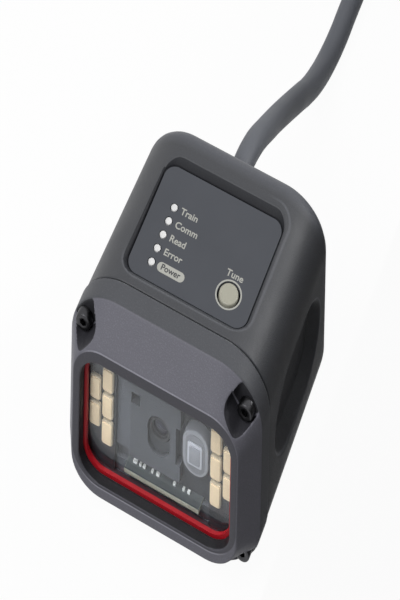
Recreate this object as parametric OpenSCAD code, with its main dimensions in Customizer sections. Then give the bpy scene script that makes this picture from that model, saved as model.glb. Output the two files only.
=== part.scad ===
// Compact fixed barcode reader: a die-cast housing with a framed reading window,
// a status panel with a tune button, and a fixed lead.
// Millimetres. The front faces -Y, +X is to the right as seen from the front, +Z is up.
// The origin is on the underside, below the middle of the body.
// Depths along Y are counted from the face of the window rim towards the back.

/* [Body] */
// Width of the housing at its front edge
body_w = 48; // [44:0.5:56]
// Height of the housing at its front edge
body_h = 46.4; // [43:0.2:54]
// Depth of the body from the window rim to the back
body_d = 48.6; // [46:0.2:60]
// Corner radius of the housing's section
corner_r = 11.2; // [10:0.1:12.5]
// Draft of the housing's top and sides, in degrees
draft = 1.2; // [0:0.1:2]
// Fillet round the back of the housing
back_fillet = 3.4; // [3:0.1:8]
// Wall of the housing
wall = 2; // [1.6:0.1:2.4]

/* [Front bezel] */
// Depth of the bezel from its rim to the joint with the housing
nose_d = 10.6; // [10:0.1:12]
// Depth of the straight band at the back of the bezel
band_d = 4.5; // [4:0.1:5]
// How far the band stands proud of the housing
band_proud = 0.35; // [0.1:0.05:0.6]
// Width of the rim beside the window
rim_side = 1.75; // [1.4:0.05:2]
// Width of the rim above and below the window
rim_top = 2.95; // [2.4:0.05:3.4]
// Corner radius of the rim
rim_r = 7.5; // [6.5:0.1:8.5]
// Thickness of the sealing gasket between bezel and housing
gasket_t = 0.5; // [0.3:0.1:0.8]
// How far the gasket is set back from the housing's outside
gasket_inset = 0.4; // [0.2:0.05:0.7]

/* [Window] */
// Distance from the housing's side to the window opening
window_side = 4.8; // [4.6:0.1:6]
// Distance from the housing's top to the window opening
window_top = 8.75; // [8.5:0.05:10]
// Corner radius of the window opening
window_r = 5.4; // [4.5:0.1:6]
// Depth of the window opening in front of the seal
window_depth = 2.2; // [1.8:0.1:2.6]
// How far the walls of the opening lean in over that depth
window_lean = 0.4; // [0.1:0.05:0.7]
// Thickness of the red window seal
seal_t = 0.8; // [0.5:0.1:1]
// Width of the seal that shows inside the opening
seal_show = 0.6; // [0.3:0.1:1.5]
// Thickness of the window glass
glass_t = 1; // [0.8:0.1:1.2]
// Ledge behind the opening that the seal bears on
glass_lip = 1.1; // [0.8:0.1:1.2]

/* [Bezel screws] */
// Distance of a screw from the housing's side
screw_side = 3.4; // [3.2:0.1:3.8]
// Distance of a screw from the housing's top or underside
screw_top = 6.3; // [6:0.1:6.8]
// Diameter of the screws
screw_d = 2; // [1.8:0.1:2.2]
// Diameter of the screw heads
screw_head_d = 3.8; // [3.4:0.1:4.2]
// Height of the screw heads
screw_head_h = 2; // [1.6:0.1:2.2]
// Length of the screws below the head
screw_l = 12; // [10:0.5:14]
// Gap between a screw head and the wall of its corner notch
notch_gap = 0.4; // [0.3:0.05:0.6]
// Length of a notch above the screw, along the corner
notch_l = 4.6; // [4:0.1:5]

/* [Status panel] */
// Distance from the housing's side to the label plate
label_side = 8.8; // [8.4:0.1:11]
// Distance from the joint to the front of the label plate
label_front = 4.35; // [4:0.05:6]
// Length of the label plate from front to back
label_l = 24.6; // [23.6:0.2:27]
// Corner radius of the label plate
label_r = 2.8; // [2:0.1:3.5]
// Thickness of the label plate
label_t = 0.5; // [0.3:0.1:0.8]
// How far the label plate lies below the housing's top
label_drop = 1.6; // [1.2:0.1:1.8]
// How far the wall behind the label plate leans back
label_flare = 3; // [1.6:0.1:3.2]
// Gap round the label plate
label_gap = 0.2; // [0.1:0.05:0.3]
// Distance of the row of lights from the label's side edge
light_side = 5.2; // [4.2:0.1:6.2]
// Distance from the label's front edge to the first light
light_y = 3.85; // [3.5:0.05:5]
// Distance between lights
light_pitch = 3.13; // [2.9:0.01:3.4]
// Diameter of a light
light_d = 1.55; // [1.2:0.05:1.8]
// Distance of the button from the label's side edge
button_side = 6.1; // [5.2:0.1:6.7]
// Distance from the label's front edge to the button
button_y = 5.5; // [5:0.1:7]
// Diameter of the tune button
button_d = 4.6; // [4:0.1:5]
// How far the button stands above the label
button_proud = 0.35; // [0.2:0.05:0.5]
// Gap round the button
button_gap = 0.45; // [0.3:0.05:0.6]
// Travel of the button
button_travel = 0.4; // [0.3:0.05:0.5]

/* [Side scoops] */
// Length of a scoop
scoop_l = 27.8; // [24:0.2:30]
// Height of a scoop
scoop_h = 19.2; // [16:0.2:21]
// Distance from the joint to the front of a scoop
scoop_front = 4.5; // [4:0.1:6]
// Depth of a scoop
scoop_depth = 2.8; // [2:0.1:3.2]
// How far the walls of a scoop lean in
scoop_lean = 2.2; // [1.5:0.1:3]

/* [Lamps and camera] */
// Width of a lamp
lamp_w = 3; // [2.4:0.1:3]
// Height of a lamp
lamp_h = 6; // [3:0.1:6.2]
// Depth of a lamp
lamp_t = 1; // [0.8:0.1:2]
// Distance between lamps in a column
lamp_pitch = 6.4; // [5.8:0.1:6.8]
// Distance of the inner lamp columns from the side of the window pocket
lamp_side = 6.5; // [6.2:0.1:7.1]
// Distance between the two lamp columns of a side
lamp_step = 3.2; // [3.1:0.05:3.5]
// Distance between the camera lens and the aimer
lens_gap = 9.4; // [9:0.1:9.9]
// Diameter of the camera's lens barrel
lens_d = 5.4; // [5:0.1:6]
// Distance of the aimer from the lamp boards
aimer_side = 3.6; // [3.5:0.1:4]
// Width of the aimer lens
aimer_d = 6.6; // [6:0.1:6.8]
// Height of the aimer lens
aimer_h = 10.6; // [7:0.2:11]
// Thickness of the circuit boards
board_t = 1; // [0.8:0.1:1.2]

/* [Mounting holes] */
// Distance between the mounting holes across the body
mount_w = 24; // [20:0.5:26]
// Distance between the mounting holes from front to back
mount_l = 20; // [18:0.5:22]
// Diameter of the tapped mounting holes
mount_d = 2.5; // [2:0.1:3.2]
// Depth of the mounting holes
mount_depth = 4.5; // [4:0.1:5]

/* [Lead] */
// Diameter of the lead
cable_d = 5; // [4.5:0.1:5.5]
// Distance of the lead from the middle of the back
cable_x = -3; // [-4:0.5:0]
// Height of the lead at the back
cable_z = 33; // [31:0.5:34]
// Length of the strain relief behind the body
relief_l = 5; // [4:0.5:6]
// Middle radius of the coiled lead
coil_r = 25.65; // [25:0.05:30]
// Width of the coil's bundle, up to three turns side by side
coil_w = 14.5; // [14:0.1:15]
// Height of the coil's bundle, four turns high
coil_h = 20.2; // [20:0.1:21]
// Thickness of the strap round the coil
tie_t = 0.6; // [0.4:0.1:1]
// Width of the strap round the coil
tie_w = 6; // [4:0.5:8]
// Width of the plug's grip
plug_w = 16; // [14:0.5:18]
// Thickness of the plug's grip
plug_t = 8; // [7:0.5:9]
// Length of the plug's grip
plug_l = 30; // [24:1:36]

/* [Hidden] */
$fn = 48;

// Clearances: between fixed pieces, round a screw's thread and round a sliding piece
fit_gap = 0.2;
thread_gap = 0.03;
slide_gap = 0.15;
// Overrun of a cut past the face that it leaves
over = 1;
// Thickness of a section that a blended form passes through
skin = 0.01;

// Places along the depth of the body
front_y = -body_d / 2;
back_y = body_d / 2;
seat_depth = nose_d - band_d;
house_depth = nose_d + gasket_t;
seal_back = window_depth + seal_t;
glass_back = seal_back + glass_t;
lamp_front = glass_back + fit_gap;
lamp_back = lamp_front + lamp_t;
ledge_depth = lamp_back + board_t;
optic_front = glass_back + 2 * fit_gap;

// Sections of the front, centred on the middle of the body's height
mid_z = body_h / 2;
band_w = body_w + 2 * band_proud;
band_h = body_h + band_proud;
window_w = body_w - 2 * window_side;
window_h = body_h - 2 * window_top;
rim_w = window_w + 2 * rim_side;
rim_h = window_h + 2 * rim_top;
pocket_w = window_w + 2 * glass_lip;
pocket_h = window_h + 2 * glass_lip;
pocket_r = window_r + 1.6;
screw_x = body_w / 2 - screw_side;
screw_z = mid_z - screw_top;
boss_r = screw_d / 2 + 1.9;
// The notch runs along the corner, square to this direction
notch_turn = 41;
notch_in = screw_head_d / 2 + notch_gap;
notch_r = 1.8;

// Carrier frame behind the glass, with four screw ears above and below
ledge = 1;
carrier_w = pocket_w + 2 * ledge;
carrier_h = pocket_h + 2 * ledge;
carrier_r = pocket_r + ledge;
carrier_t = 2.5;
carrier_back = ledge_depth + carrier_t;
carrier_floor = 1.5;
lamp_edge = 0.3;
lamp_x = pocket_w / 2 - lamp_side;
ear_x = 11.5;
ear_z = carrier_h / 2 + 0.7;
ear_r = 2.4;
tray_w = 2 * (lamp_x - lamp_w / 2 - lamp_edge);
tray_h = pocket_h - 6;
aimer_x = tray_w / 2 - aimer_side;
lens_x = aimer_x - lens_gap;
carrier_screw_d = 1.6;
carrier_screw_l = 5;

// Camera and aimer, carried by a board behind the carrier frame
holder_l = 5.6;
sensor_depth = carrier_back + holder_l;
sensor_t = 1;
sensor_w = 6;
lens_wall = 0.7;
holder_w = 9;
sensor_board_w = tray_w;
sensor_edge = 2;
sensor_board_h = tray_h - 2 * sensor_edge;
sensor_post_x = sensor_board_w / 2 - 2.2;
sensor_post_z = sensor_board_h / 2 - 2.2;
sensor_post_r = 1.7;
sensor_screw_l = 2.6;
aimer_flange = 0.7;
aimer_back = carrier_back + 0.8;
shelf_rise = 0.35;
shelf_z = mid_z - tray_h / 2 + shelf_rise;
shelf_x = 0.3;
shelf_w = 19;

// Camera plate and bracket strip that stand up from the carrier's floor
plate_depth = lamp_back;
strip_w = 3.5;
plate_side = 5.5;
plate_w = lens_x + plate_side + tray_w / 2 - strip_w;
plate_x = lens_x + plate_side - plate_w / 2;
plate_low = shelf_z + 2.7;
plate_high = mid_z + tray_h / 2;
plate_notch = [1.1, 8.8];
plate_port = [2.2, 2.6];
strip_gap = 0.4;
mouth_w = lens_d + 0.2;
mouth_h = 9.2;
mouth_z = mid_z - 1.1;
mouth_t = 0.9;
lens_front = plate_depth + 0.5;
lens_sink = 1.6;

// Label, lights and button in the top of the housing
label_w = body_w - 2 * label_side;
label_depth = nose_d + label_front;
label_y = front_y + label_depth;
label_mid = label_y + label_l / 2;
light_x = label_w / 2 - light_side;
button_x = label_w / 2 - button_side;
label_z = body_h - label_drop;
pad_t = 1.5;
pad_z = label_z - label_t - pad_t;
pad_edge = 2;
light_n = 5;
pipe_bar_w = 2.6;
pipe_bar_t = 0.8;
status_drop = 2.6;
status_z = pad_z - status_drop;
status_w = label_w - 2;
status_l = label_l - 2;
status_post_r = 1.8;
status_posts = [
    [-status_w / 2 + 2.4, label_mid + status_l / 2 - 2.4],
    [status_w / 2 - 2.4, label_mid + status_l / 2 - 2.4],
    [0, label_y + 3.4]
];
button_pos = [button_x, label_y + button_y];
bore_d = button_d + 2 * button_gap;
button_flange_d = bore_d + 1;
button_flange_t = 0.7;
button_base = pad_z - slide_gap - button_flange_t;
switch_w = 4.6;
switch_top = button_base - button_travel - slide_gap;
plunger_d = 2.2;
plunger_sink = 0.4;

// Mounting holes in the underside
mount_depth_y = label_mid;
mount_boss_r = mount_d / 2 + 1.8;
mount_boss_h = mount_depth + 1.2;

// Boards and sockets at the back
board_screw_d = 1.6;
board_screw_head_d = 3;
board_screw_head_h = 0.9;
board_screw_l = 3.6;
main_w = 34;
main_z = mount_boss_h + 2 * fit_gap;
main_clear = 1.2;
main_h = status_z - board_t - board_screw_head_h - main_clear - main_z;
main_edge = 3;
main_post_l = 12;
main_back = body_d - wall - main_post_l;
main_front = main_back - board_t;
main_post_x = main_w / 2 - main_edge;
main_post_z = [main_z + main_edge, main_z + main_h - main_edge];
main_post_r = 2.2;
processor_w = 11;
socket_w = 9;
socket_h = 6;
socket_l = 6.6;
flex_w = 10;
flex_t = 0.3;
flex_drop = 3;
flex_z = shelf_z - flex_drop;
flex_socket_h = 3;
flex_socket_l = 2;
flex_socket_side = 1.5;

// Lead: strain relief, laid length, coil and plug
gland_r = cable_d / 2 + 1.5;
gland_flange_r = gland_r + 1.4;
gland_flange_t = 1.2;
relief_tip_r = cable_d / 2 + 0.4;
tie_gap = 0.1;
coil_low = tie_t + tie_gap;
coil_out = coil_r + coil_w / 2;
coil_in = coil_r - coil_w / 2;
coil_round = 2.5;
// The lead meets the coil's outer turn here, on its way straight back
coil_join = [-3.2, 137.5];
turn_r = coil_out - cable_d / 2;
coil_x = coil_join[0] + turn_r;
coil_y = coil_join[1];
// Distance along the lead from the coil's outside to where the turn begins
join_l = sqrt(pow(coil_out, 2) - pow(turn_r - cable_d / 2, 2)) + 0.3;
plug_z = plug_t / 2;
tail_x = coil_x + turn_r;
tail_y = coil_y - join_l;
tail_l = 45;
plug_y = tail_y - tail_l;
plug_r = 2.5;
shell_w = 12;
shell_h = 4.5;
shell_l = 18.8;
shell_t = 0.4;
tongue_t = 1.9;
tongue_gap = 0.1;
cable_sides = 10;

// Where the lead drops from the strain relief to the surface: sideways from the exit,
// along Y, and as a share of the exit's height above the surface
lead_low = cable_d / 2 + 0.1;
lead_drop = [
    [-0.1, 33.5, 0.987], [-0.2, 37.5, 0.947], [-0.4, 41.3, 0.883], [-0.6, 47, 0.762],
    [-0.8, 53, 0.633], [-0.8, 59, 0.505], [-0.7, 65, 0.377], [-0.6, 70, 0.27],
    [-0.5, 72.7, 0.212], [-0.4, 79.5, 0.096], [-0.3, 86.9, 0.024], [-0.2, 94.5, 0]
];
// Where it then runs back to its coil
lead_run = [[-3.25, 99], [-3.25, 105], [-3.2, 112]];
lead_points = concat(
    [
        [cable_x, front_y + main_back + socket_l, cable_z],
        [cable_x, back_y + relief_l / 2, cable_z],
        [cable_x, back_y + relief_l, cable_z - 0.05]
    ],
    [for (q = lead_drop) [cable_x + q[0], q[1], lead_low + q[2] * (cable_z - lead_low)]],
    [for (q = lead_run) [q[0], q[1], lead_low]],
    [[coil_join[0], coil_join[1] - join_l, lead_low]]
);
// Where it comes off the top of the coil and sinks to the plug
tail_top = coil_low + coil_h - cable_d / 2 - 0.3;
tail_drop = [
    [0, 1], [0.1, 0.98], [0.22, 0.88], [0.34, 0.73], [0.46, 0.54], [0.58, 0.34],
    [0.7, 0.17], [0.82, 0.05], [0.92, 0], [1, 0]
];
tail_points = [for (q = tail_drop)
    [tail_x, tail_y - q[0] * tail_l, plug_z + q[1] * (tail_top - plug_z)]];

// Plan and section shapes

module rounded_rect(w, h, r) {
    square([w - 2 * r, h], center = true);
    square([w, h - 2 * r], center = true);
    for (sx = [-1, 1], sz = [-1, 1])
        translate([sx * (w / 2 - r), sz * (h / 2 - r)]) circle(r);
}

module stadium(l, h) {
    square([l - h, h], center = true);
    for (s = [-1, 1]) translate([s * (l - h) / 2, 0]) circle(d = h);
}

// A section in X and Z, carried through the body from one depth to another
module slab(from, to) {
    translate([0, front_y + to, 0]) rotate([90, 0, 0]) linear_extrude(to - from) children();
}

// A round bar along Y from one depth to another
module bar(d, x, z, from, to) {
    translate([x, front_y + to, z]) rotate([90, 0, 0]) cylinder(d = d, h = to - from);
}

module at_mid() { translate([0, mid_z]) children(); }

// The four screw places of the bezel
module at_screws() {
    for (sx = [-1, 1], sz = [-1, 1])
        translate([sx * screw_x, mid_z + sz * screw_z]) scale([sx, sz]) children();
}

// Front bezel

module band_section(in = 0) {
    translate([0, band_h / 2])
        rounded_rect(band_w - 2 * in, band_h - 2 * in, corner_r + band_proud - in);
}

module carrier_outline(gap = 0) {
    at_mid() rounded_rect(carrier_w + 2 * gap, carrier_h + 2 * gap, carrier_r + gap);
    for (sx = [-1, 1], sz = [-1, 1])
        translate([sx * ear_x, mid_z + sz * ear_z]) circle(ear_r + gap);
}

module corner_notch() {
    rotate(notch_turn) {
        translate([-notch_in + notch_r, -notch_in])
            square([corner_r, notch_in + notch_l]);
        translate([-notch_in, -notch_in + notch_r])
            square([corner_r, notch_in + notch_l - 2 * notch_r]);
        for (v = [-notch_in + notch_r, notch_l - notch_r])
            translate([-notch_in + notch_r, v]) circle(notch_r);
    }
}

module window_cut() {
    hull() {
        slab(-over, -over + skin) at_mid() rounded_rect(
            window_w + 2 * window_lean * over / window_depth,
            window_h + 2 * window_lean * over / window_depth, window_r);
        slab(window_depth, window_depth + skin) at_mid()
            rounded_rect(window_w - 2 * window_lean, window_h - 2 * window_lean, window_r);
    }
}

module front_bezel() {
    color([0.28, 0.28, 0.31]) difference() {
        union() {
            slab(seat_depth, nose_d) band_section();
            hull() {
                slab(0, skin) at_mid() rounded_rect(rim_w, rim_h, rim_r, $fn = 64);
                slab(seat_depth - skin, seat_depth) band_section($fn = 64);
            }
        }
        window_cut();
        slab(window_depth, nose_d + over) at_mid() rounded_rect(pocket_w, pocket_h, pocket_r);
        slab(ledge_depth, nose_d + over) carrier_outline(fit_gap);
        slab(-over, seat_depth) at_screws() corner_notch();
        slab(-over, nose_d + over) at_screws() circle(d = screw_d + 2 * fit_gap);
        slab(ledge_depth - carrier_screw_l + carrier_t, nose_d) for (sx = [-1, 1], sz = [-1, 1])
            translate([sx * ear_x, mid_z + sz * ear_z])
                circle(d = carrier_screw_d + 2 * thread_gap);
    }
}

module window_seal() {
    color([0.78, 0.1, 0.13]) slab(window_depth, seal_back) at_mid() difference() {
        rounded_rect(pocket_w - 2 * fit_gap, pocket_h - 2 * fit_gap, pocket_r - fit_gap);
        rounded_rect(
            window_w - 2 * window_lean - 2 * seal_show,
            window_h - 2 * window_lean - 2 * seal_show, window_r - seal_show);
    }
}

module window_glass() {
    color([0.6, 0.66, 0.72, 0.35]) slab(seal_back, glass_back) at_mid()
        rounded_rect(pocket_w - 2 * fit_gap, pocket_h - 2 * fit_gap, pocket_r - fit_gap);
}

// Socket-head screw that points towards +Y, its seat at the given depth
module bezel_screws() {
    color([0.1, 0.1, 0.11]) at_mid_screws() difference() {
        union() {
            cylinder(d = screw_d, h = screw_l);
            translate([0, 0, -screw_head_h]) cylinder(d = screw_head_d, h = screw_head_h);
        }
        translate([0, 0, -screw_head_h - over])
            cylinder(d = screw_d * 0.9, h = over + screw_head_h * 0.55, $fn = 6);
    }
}

module at_mid_screws() {
    for (sx = [-1, 1], sz = [-1, 1])
        translate([sx * screw_x, front_y + seat_depth, mid_z + sz * screw_z])
            rotate([-90, 0, 0]) children();
}

// Housing

function taper(depth) = tan(draft) * (depth - house_depth);

module housing_section(in, depth) {
    w = body_w - 2 * taper(depth) - 2 * in;
    h = body_h - taper(depth) - 2 * in;
    translate([0, in + h / 2]) rounded_rect(w, h, max(corner_r - in, 0.8));
}

// The drafted box with its rounded back, set in from the outside all over
module housing_form(in, from, round_steps) {
    r = max(back_fillet - in, 0.8);
    end = body_d - in;
    hull() {
        slab(from, from + skin) housing_section(in, from);
        for (i = [0 : round_steps]) {
            a = 90 * i / round_steps;
            d = end - r + r * sin(a);
            slab(d - skin, d) housing_section(in + r * (1 - cos(a)), d);
        }
    }
}

module label_outline(extra) {
    translate([0, label_mid])
        rounded_rect(label_w + 2 * extra, label_l + 2 * extra, label_r + extra);
}

// The recess round the label: its walls lean out, the back one the most
module panel_recess() {
    rise = label_drop + over;
    back = label_flare * rise / label_drop;
    w = label_w + 2 * label_gap;
    l = label_l + 2 * label_gap;
    r = label_r + label_gap;
    translate([0, label_mid, label_z]) hull() {
        linear_extrude(skin) rounded_rect(w, l, r);
        translate([0, (back - rise) / 2, rise]) linear_extrude(skin)
            rounded_rect(w + 2 * rise, l + rise + back, r + rise);
    }
}

// A side scoop with leaning walls and round ends, drawn on the +X side
module scoop() {
    floor_x = body_w / 2 - scoop_depth - taper(nose_d + scoop_front + scoop_l / 2);
    reach = body_w / 2 + over - floor_x;
    low_r = scoop_h / 2 - scoop_lean;
    high_r = low_r + reach * scoop_lean / scoop_depth;
    half = (scoop_l - scoop_h) / 2;
    translate([floor_x, front_y + nose_d + scoop_front + scoop_l / 2, mid_z]) {
        for (s = [-1, 1]) translate([0, s * half, 0]) rotate([0, 90, 0])
            cylinder(r1 = low_r, r2 = high_r, h = reach);
        rotate([90, 0, 0]) linear_extrude(2 * half, center = true)
            polygon([[0, -low_r], [reach, -high_r], [reach, high_r], [0, low_r]]);
    }
}

module scoop_pad() {
    floor_x = body_w / 2 - scoop_depth - taper(nose_d + scoop_front + scoop_l / 2);
    translate([floor_x - wall, front_y + nose_d + scoop_front + scoop_l / 2, mid_z])
        rotate([90, 0, 90]) linear_extrude(scoop_depth + wall) stadium(scoop_l, scoop_h);
}

// What stands inside the housing: screw bosses, scoop walls, panel pad and board posts
module housing_inside() {
    slab(house_depth - over, house_depth + screw_l) at_screws() circle(boss_r);
    for (m = [0, 1]) mirror([m, 0, 0]) scoop_pad();
    translate([0, 0, pad_z]) linear_extrude(body_h) label_outline(pad_edge);
    for (p = status_posts)
        translate([p[0], p[1], status_z]) cylinder(r = status_post_r, h = status_drop + over);
    for (sx = [-1, 1], z = main_post_z)
        bar(2 * main_post_r, sx * main_post_x, z, main_back, body_d);
    mounting_places() cylinder(r = mount_boss_r, h = mount_boss_h);
}

module mounting_places() {
    for (sx = [-1, 1], sy = [-1, 1])
        translate([sx * mount_w / 2, mount_depth_y + sy * mount_l / 2, 0]) children();
}

module housing() {
    color([0.2, 0.2, 0.22]) difference() {
        housing_form(0, house_depth, 6, $fn = 64);
        difference() {
            housing_form(wall, house_depth - over, 3, $fn = 32);
            housing_inside();
        }
        panel_recess();
        for (m = [0, 1]) mirror([m, 0, 0]) scoop();
        translate([0, 0, label_z - label_t])
            linear_extrude(label_t + over) label_outline(label_gap);
        translate([0, 0, pad_z - over]) linear_extrude(pad_t + 2 * over) {
            translate(button_pos) circle(d = bore_d);
            light_places() circle(d = light_d + 2 * fit_gap);
        }
        for (p = status_posts) translate([p[0], p[1], status_z - over])
            cylinder(d = board_screw_d + 2 * thread_gap, h = over + status_drop);
        slab(house_depth - over, house_depth + screw_l - band_d + over) at_screws()
            circle(d = screw_d + 2 * thread_gap);
        for (sx = [-1, 1], z = main_post_z)
            bar(board_screw_d + 2 * thread_gap, sx * main_post_x, z,
                main_back - over, main_back + board_screw_l);
        translate([0, 0, -over]) mounting_places() cylinder(d = mount_d, h = mount_depth + over);
        bar(2 * gland_r, cable_x, cable_z, body_d - wall - over, body_d + over);
    }
}

module bezel_gasket() {
    color([0.06, 0.06, 0.07]) slab(nose_d, house_depth) difference() {
        housing_section(gasket_inset, house_depth);
        difference() {
            housing_section(wall, house_depth);
            at_screws() circle(boss_r);
        }
        at_screws() circle(d = screw_d + 2 * fit_gap);
    }
}

// Status panel

module light_places() {
    for (i = [0 : light_n - 1])
        translate([-light_x, label_y + light_y + i * light_pitch]) children();
}

module label_plate() {
    color([0.23, 0.24, 0.26]) translate([0, 0, label_z - label_t]) linear_extrude(label_t)
        difference() {
            label_outline(0);
            translate(button_pos) circle(d = bore_d);
            light_places() circle(d = light_d + 2 * fit_gap);
        }
}

// One clear moulding: a bar under the panel with a pin up to each light
module light_pipe() {
    bar_l = (light_n - 1) * light_pitch + pipe_bar_w;
    color([0.95, 0.96, 0.98]) {
        translate([0, 0, pad_z - pipe_bar_t]) linear_extrude(pipe_bar_t)
            translate([-light_x, label_y + light_y + (light_n - 1) * light_pitch / 2])
                rotate(90) stadium(bar_l, pipe_bar_w);
        translate([0, 0, pad_z - pipe_bar_t]) linear_extrude(label_z - pad_z + pipe_bar_t)
            light_places() circle(d = light_d);
    }
}

module tune_button() {
    dome = 0.25;
    top = label_z + button_proud;
    color([0.8, 0.79, 0.74]) translate([button_pos[0], button_pos[1], 0]) rotate_extrude()
        polygon([
            [0, button_base], [button_flange_d / 2, button_base],
            [button_flange_d / 2, button_base + button_flange_t],
            [button_d / 2, button_base + button_flange_t],
            [button_d / 2, top - dome], [button_d / 2 - dome, top], [0, top]
        ]);
}

module switch_plunger() {
    color([0.12, 0.12, 0.12])
        translate([button_pos[0], button_pos[1], switch_top - plunger_sink])
            cylinder(d = plunger_d, h = button_base - switch_top + plunger_sink);
}

module switch_body() {
    color([0.15, 0.15, 0.16])
        translate([button_pos[0], button_pos[1], status_z]) difference() {
            linear_extrude(switch_top - status_z)
                rounded_rect(switch_w, switch_w, 0.5);
            translate([0, 0, switch_top - status_z - plunger_sink - button_travel - slide_gap])
                cylinder(d = plunger_d + 2 * slide_gap, h = button_travel + plunger_sink + over);
        }
}

module status_board() {
    color([0.1, 0.3, 0.2]) translate([0, 0, status_z - board_t]) linear_extrude(board_t)
        difference() {
            translate([0, label_mid]) rounded_rect(status_w, status_l, 1.5);
            for (p = status_posts) translate(p) circle(d = board_screw_d + 2 * fit_gap);
        }
}

module status_leds() {
    led_h = status_drop - pipe_bar_t - fit_gap;
    color([0.9, 0.9, 0.85]) translate([0, 0, status_z]) linear_extrude(led_h)
        light_places() rounded_rect(1.6, 1.2, 0.2);
}

// Pan-head board screw that points towards +Z, its seat at z = 0
module board_screw(l) {
    difference() {
        union() {
            cylinder(d = board_screw_d, h = l);
            translate([0, 0, -board_screw_head_h])
                cylinder(d = board_screw_head_d, h = board_screw_head_h);
        }
        translate([0, 0, -board_screw_head_h - over])
            cylinder(d = board_screw_d * 0.8, h = over + board_screw_head_h * 0.5, $fn = 6);
    }
}

module status_board_screws() {
    color([0.6, 0.6, 0.62]) for (p = status_posts)
        translate([p[0], p[1], status_z - board_t])
            board_screw(status_drop + board_t - fit_gap);
}

// Carrier frame, lamps, camera and aimer behind the window

module shelf_section(gap = 0) {
    translate([shelf_x, shelf_z - board_t / 2])
        square([shelf_w + 2 * gap, board_t + 2 * gap], center = true);
}

module sensor_posts() {
    for (sx = [-1, 1]) translate([sx * sensor_post_x, mid_z + sensor_post_z]) children();
}

// Outline of the oblong aimer lens, grown by the gap
module aimer_outline(gap = 0) {
    translate([aimer_x, mid_z])
        rounded_rect(aimer_d + 2 * gap, aimer_h + 2 * gap, aimer_d / 2 + gap - skin);
}

// Camera plate with a notch beside the aimer and a port in its upper corner
module camera_plate() {
    side = plate_x + plate_w / 2;
    difference() {
        translate([plate_x - plate_w / 2, plate_low]) square([plate_w, plate_high - plate_low]);
        translate([side, mouth_z]) square([2 * plate_notch[0], plate_notch[1]], center = true);
        translate([plate_x - plate_w / 2 + plate_port[0] * 0.7,
            mouth_z + mouth_h / 2 + plate_port[1] / 2])
            square(plate_port, center = true);
    }
}

// Bracket strip between the camera plate and the lamps
module bracket_strip() {
    left = -tray_w / 2 - skin;
    translate([left, plate_low])
        square([plate_x - plate_w / 2 - strip_gap - left, plate_high - plate_low]);
}

module carrier_frame() {
    tray_depth = carrier_back - carrier_floor;
    color([0.3, 0.31, 0.34]) difference() {
        union() {
            difference() {
                slab(ledge_depth, carrier_back) carrier_outline();
                slab(ledge_depth - over, tray_depth) at_mid() rounded_rect(tray_w, tray_h, 1.2);
            }
            slab(carrier_back - skin, sensor_depth) sensor_posts() circle(sensor_post_r);
            slab(plate_depth, tray_depth + skin) camera_plate();
            slab(ledge_depth, tray_depth + skin) bracket_strip();
        }
        slab(plate_depth - over, plate_depth + mouth_t) translate([lens_x, mouth_z])
            rounded_rect(mouth_w, mouth_h, mouth_w / 2 - skin);
        bar(lens_d + 2 * fit_gap, lens_x, mid_z, plate_depth - over, carrier_back + over);
        slab(tray_depth - over, carrier_back + over) aimer_outline(fit_gap);
        slab(ledge_depth - over, carrier_back + over) shelf_section(fit_gap / 2);
        slab(ledge_depth - over, carrier_back + over) for (sx = [-1, 1], sz = [-1, 1])
            translate([sx * ear_x, mid_z + sz * ear_z])
                circle(d = carrier_screw_d + 2 * fit_gap);
        slab(sensor_depth - 3, sensor_depth + over) sensor_posts()
            circle(d = carrier_screw_d + 2 * thread_gap);
    }
}

// Screws that hold a board from behind, pointing towards -Y
module rear_screws(x_list, z_list, seat, l) {
    for (x = x_list, z = z_list)
        translate([x, front_y + seat, z]) rotate([90, 0, 0]) board_screw(l);
}

module carrier_screws() {
    color([0.6, 0.6, 0.62]) rear_screws(
        [-ear_x, ear_x], [mid_z - ear_z, mid_z + ear_z], carrier_back, carrier_screw_l - fit_gap);
}

module lamp_board(side) {
    edge = lamp_x - lamp_w / 2 - lamp_edge;
    color([0.16, 0.18, 0.2]) slab(lamp_back, ledge_depth) intersection() {
        at_mid() rounded_rect(pocket_w - 2 * fit_gap, pocket_h - 2 * fit_gap, pocket_r - fit_gap);
        translate([side * (edge + pocket_w / 2), mid_z])
            square([pocket_w, pocket_h], center = true);
    }
}

module lamp_board_left() { lamp_board(-1); }

module lamp_board_right() { lamp_board(1); }

module lamps() {
    color([0.93, 0.86, 0.72]) slab(lamp_front, lamp_back) at_mid() for (s = [-1, 1]) {
        for (i = [-1 : 1])
            translate([s * lamp_x, i * lamp_pitch]) rounded_rect(lamp_w, lamp_h, 0.4);
        for (i = [-0.5, 0.5])
            translate([s * (lamp_x + lamp_step), i * lamp_pitch]) rounded_rect(lamp_w, lamp_h, 0.4);
    }
}

module lens_barrel() {
    color([0.07, 0.07, 0.08]) difference() {
        bar(lens_d, lens_x, mid_z, lens_front, sensor_depth - sensor_t - 1);
        bar(lens_d - 2 * lens_wall, lens_x, mid_z, lens_front - over, lens_front + lens_sink);
        bar(lens_d - 4 * lens_wall, lens_x, mid_z, lens_front, sensor_depth);
    }
}

// A plano-convex element seated in the mouth of the barrel
module front_lens() {
    r = lens_d / 2 - lens_wall - thread_gap;
    bulge = 0.5;
    ball = (r * r + bulge * bulge) / (2 * bulge);
    color([0.35, 0.4, 0.5, 0.6])
        translate([lens_x, front_y + lens_front + lens_sink, mid_z]) rotate([90, 0, 0]) intersection() {
            cylinder(r = r, h = 1.2);
            translate([0, 0, 1.2 - ball]) sphere(ball, $fn = 64);
        }
}

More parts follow.
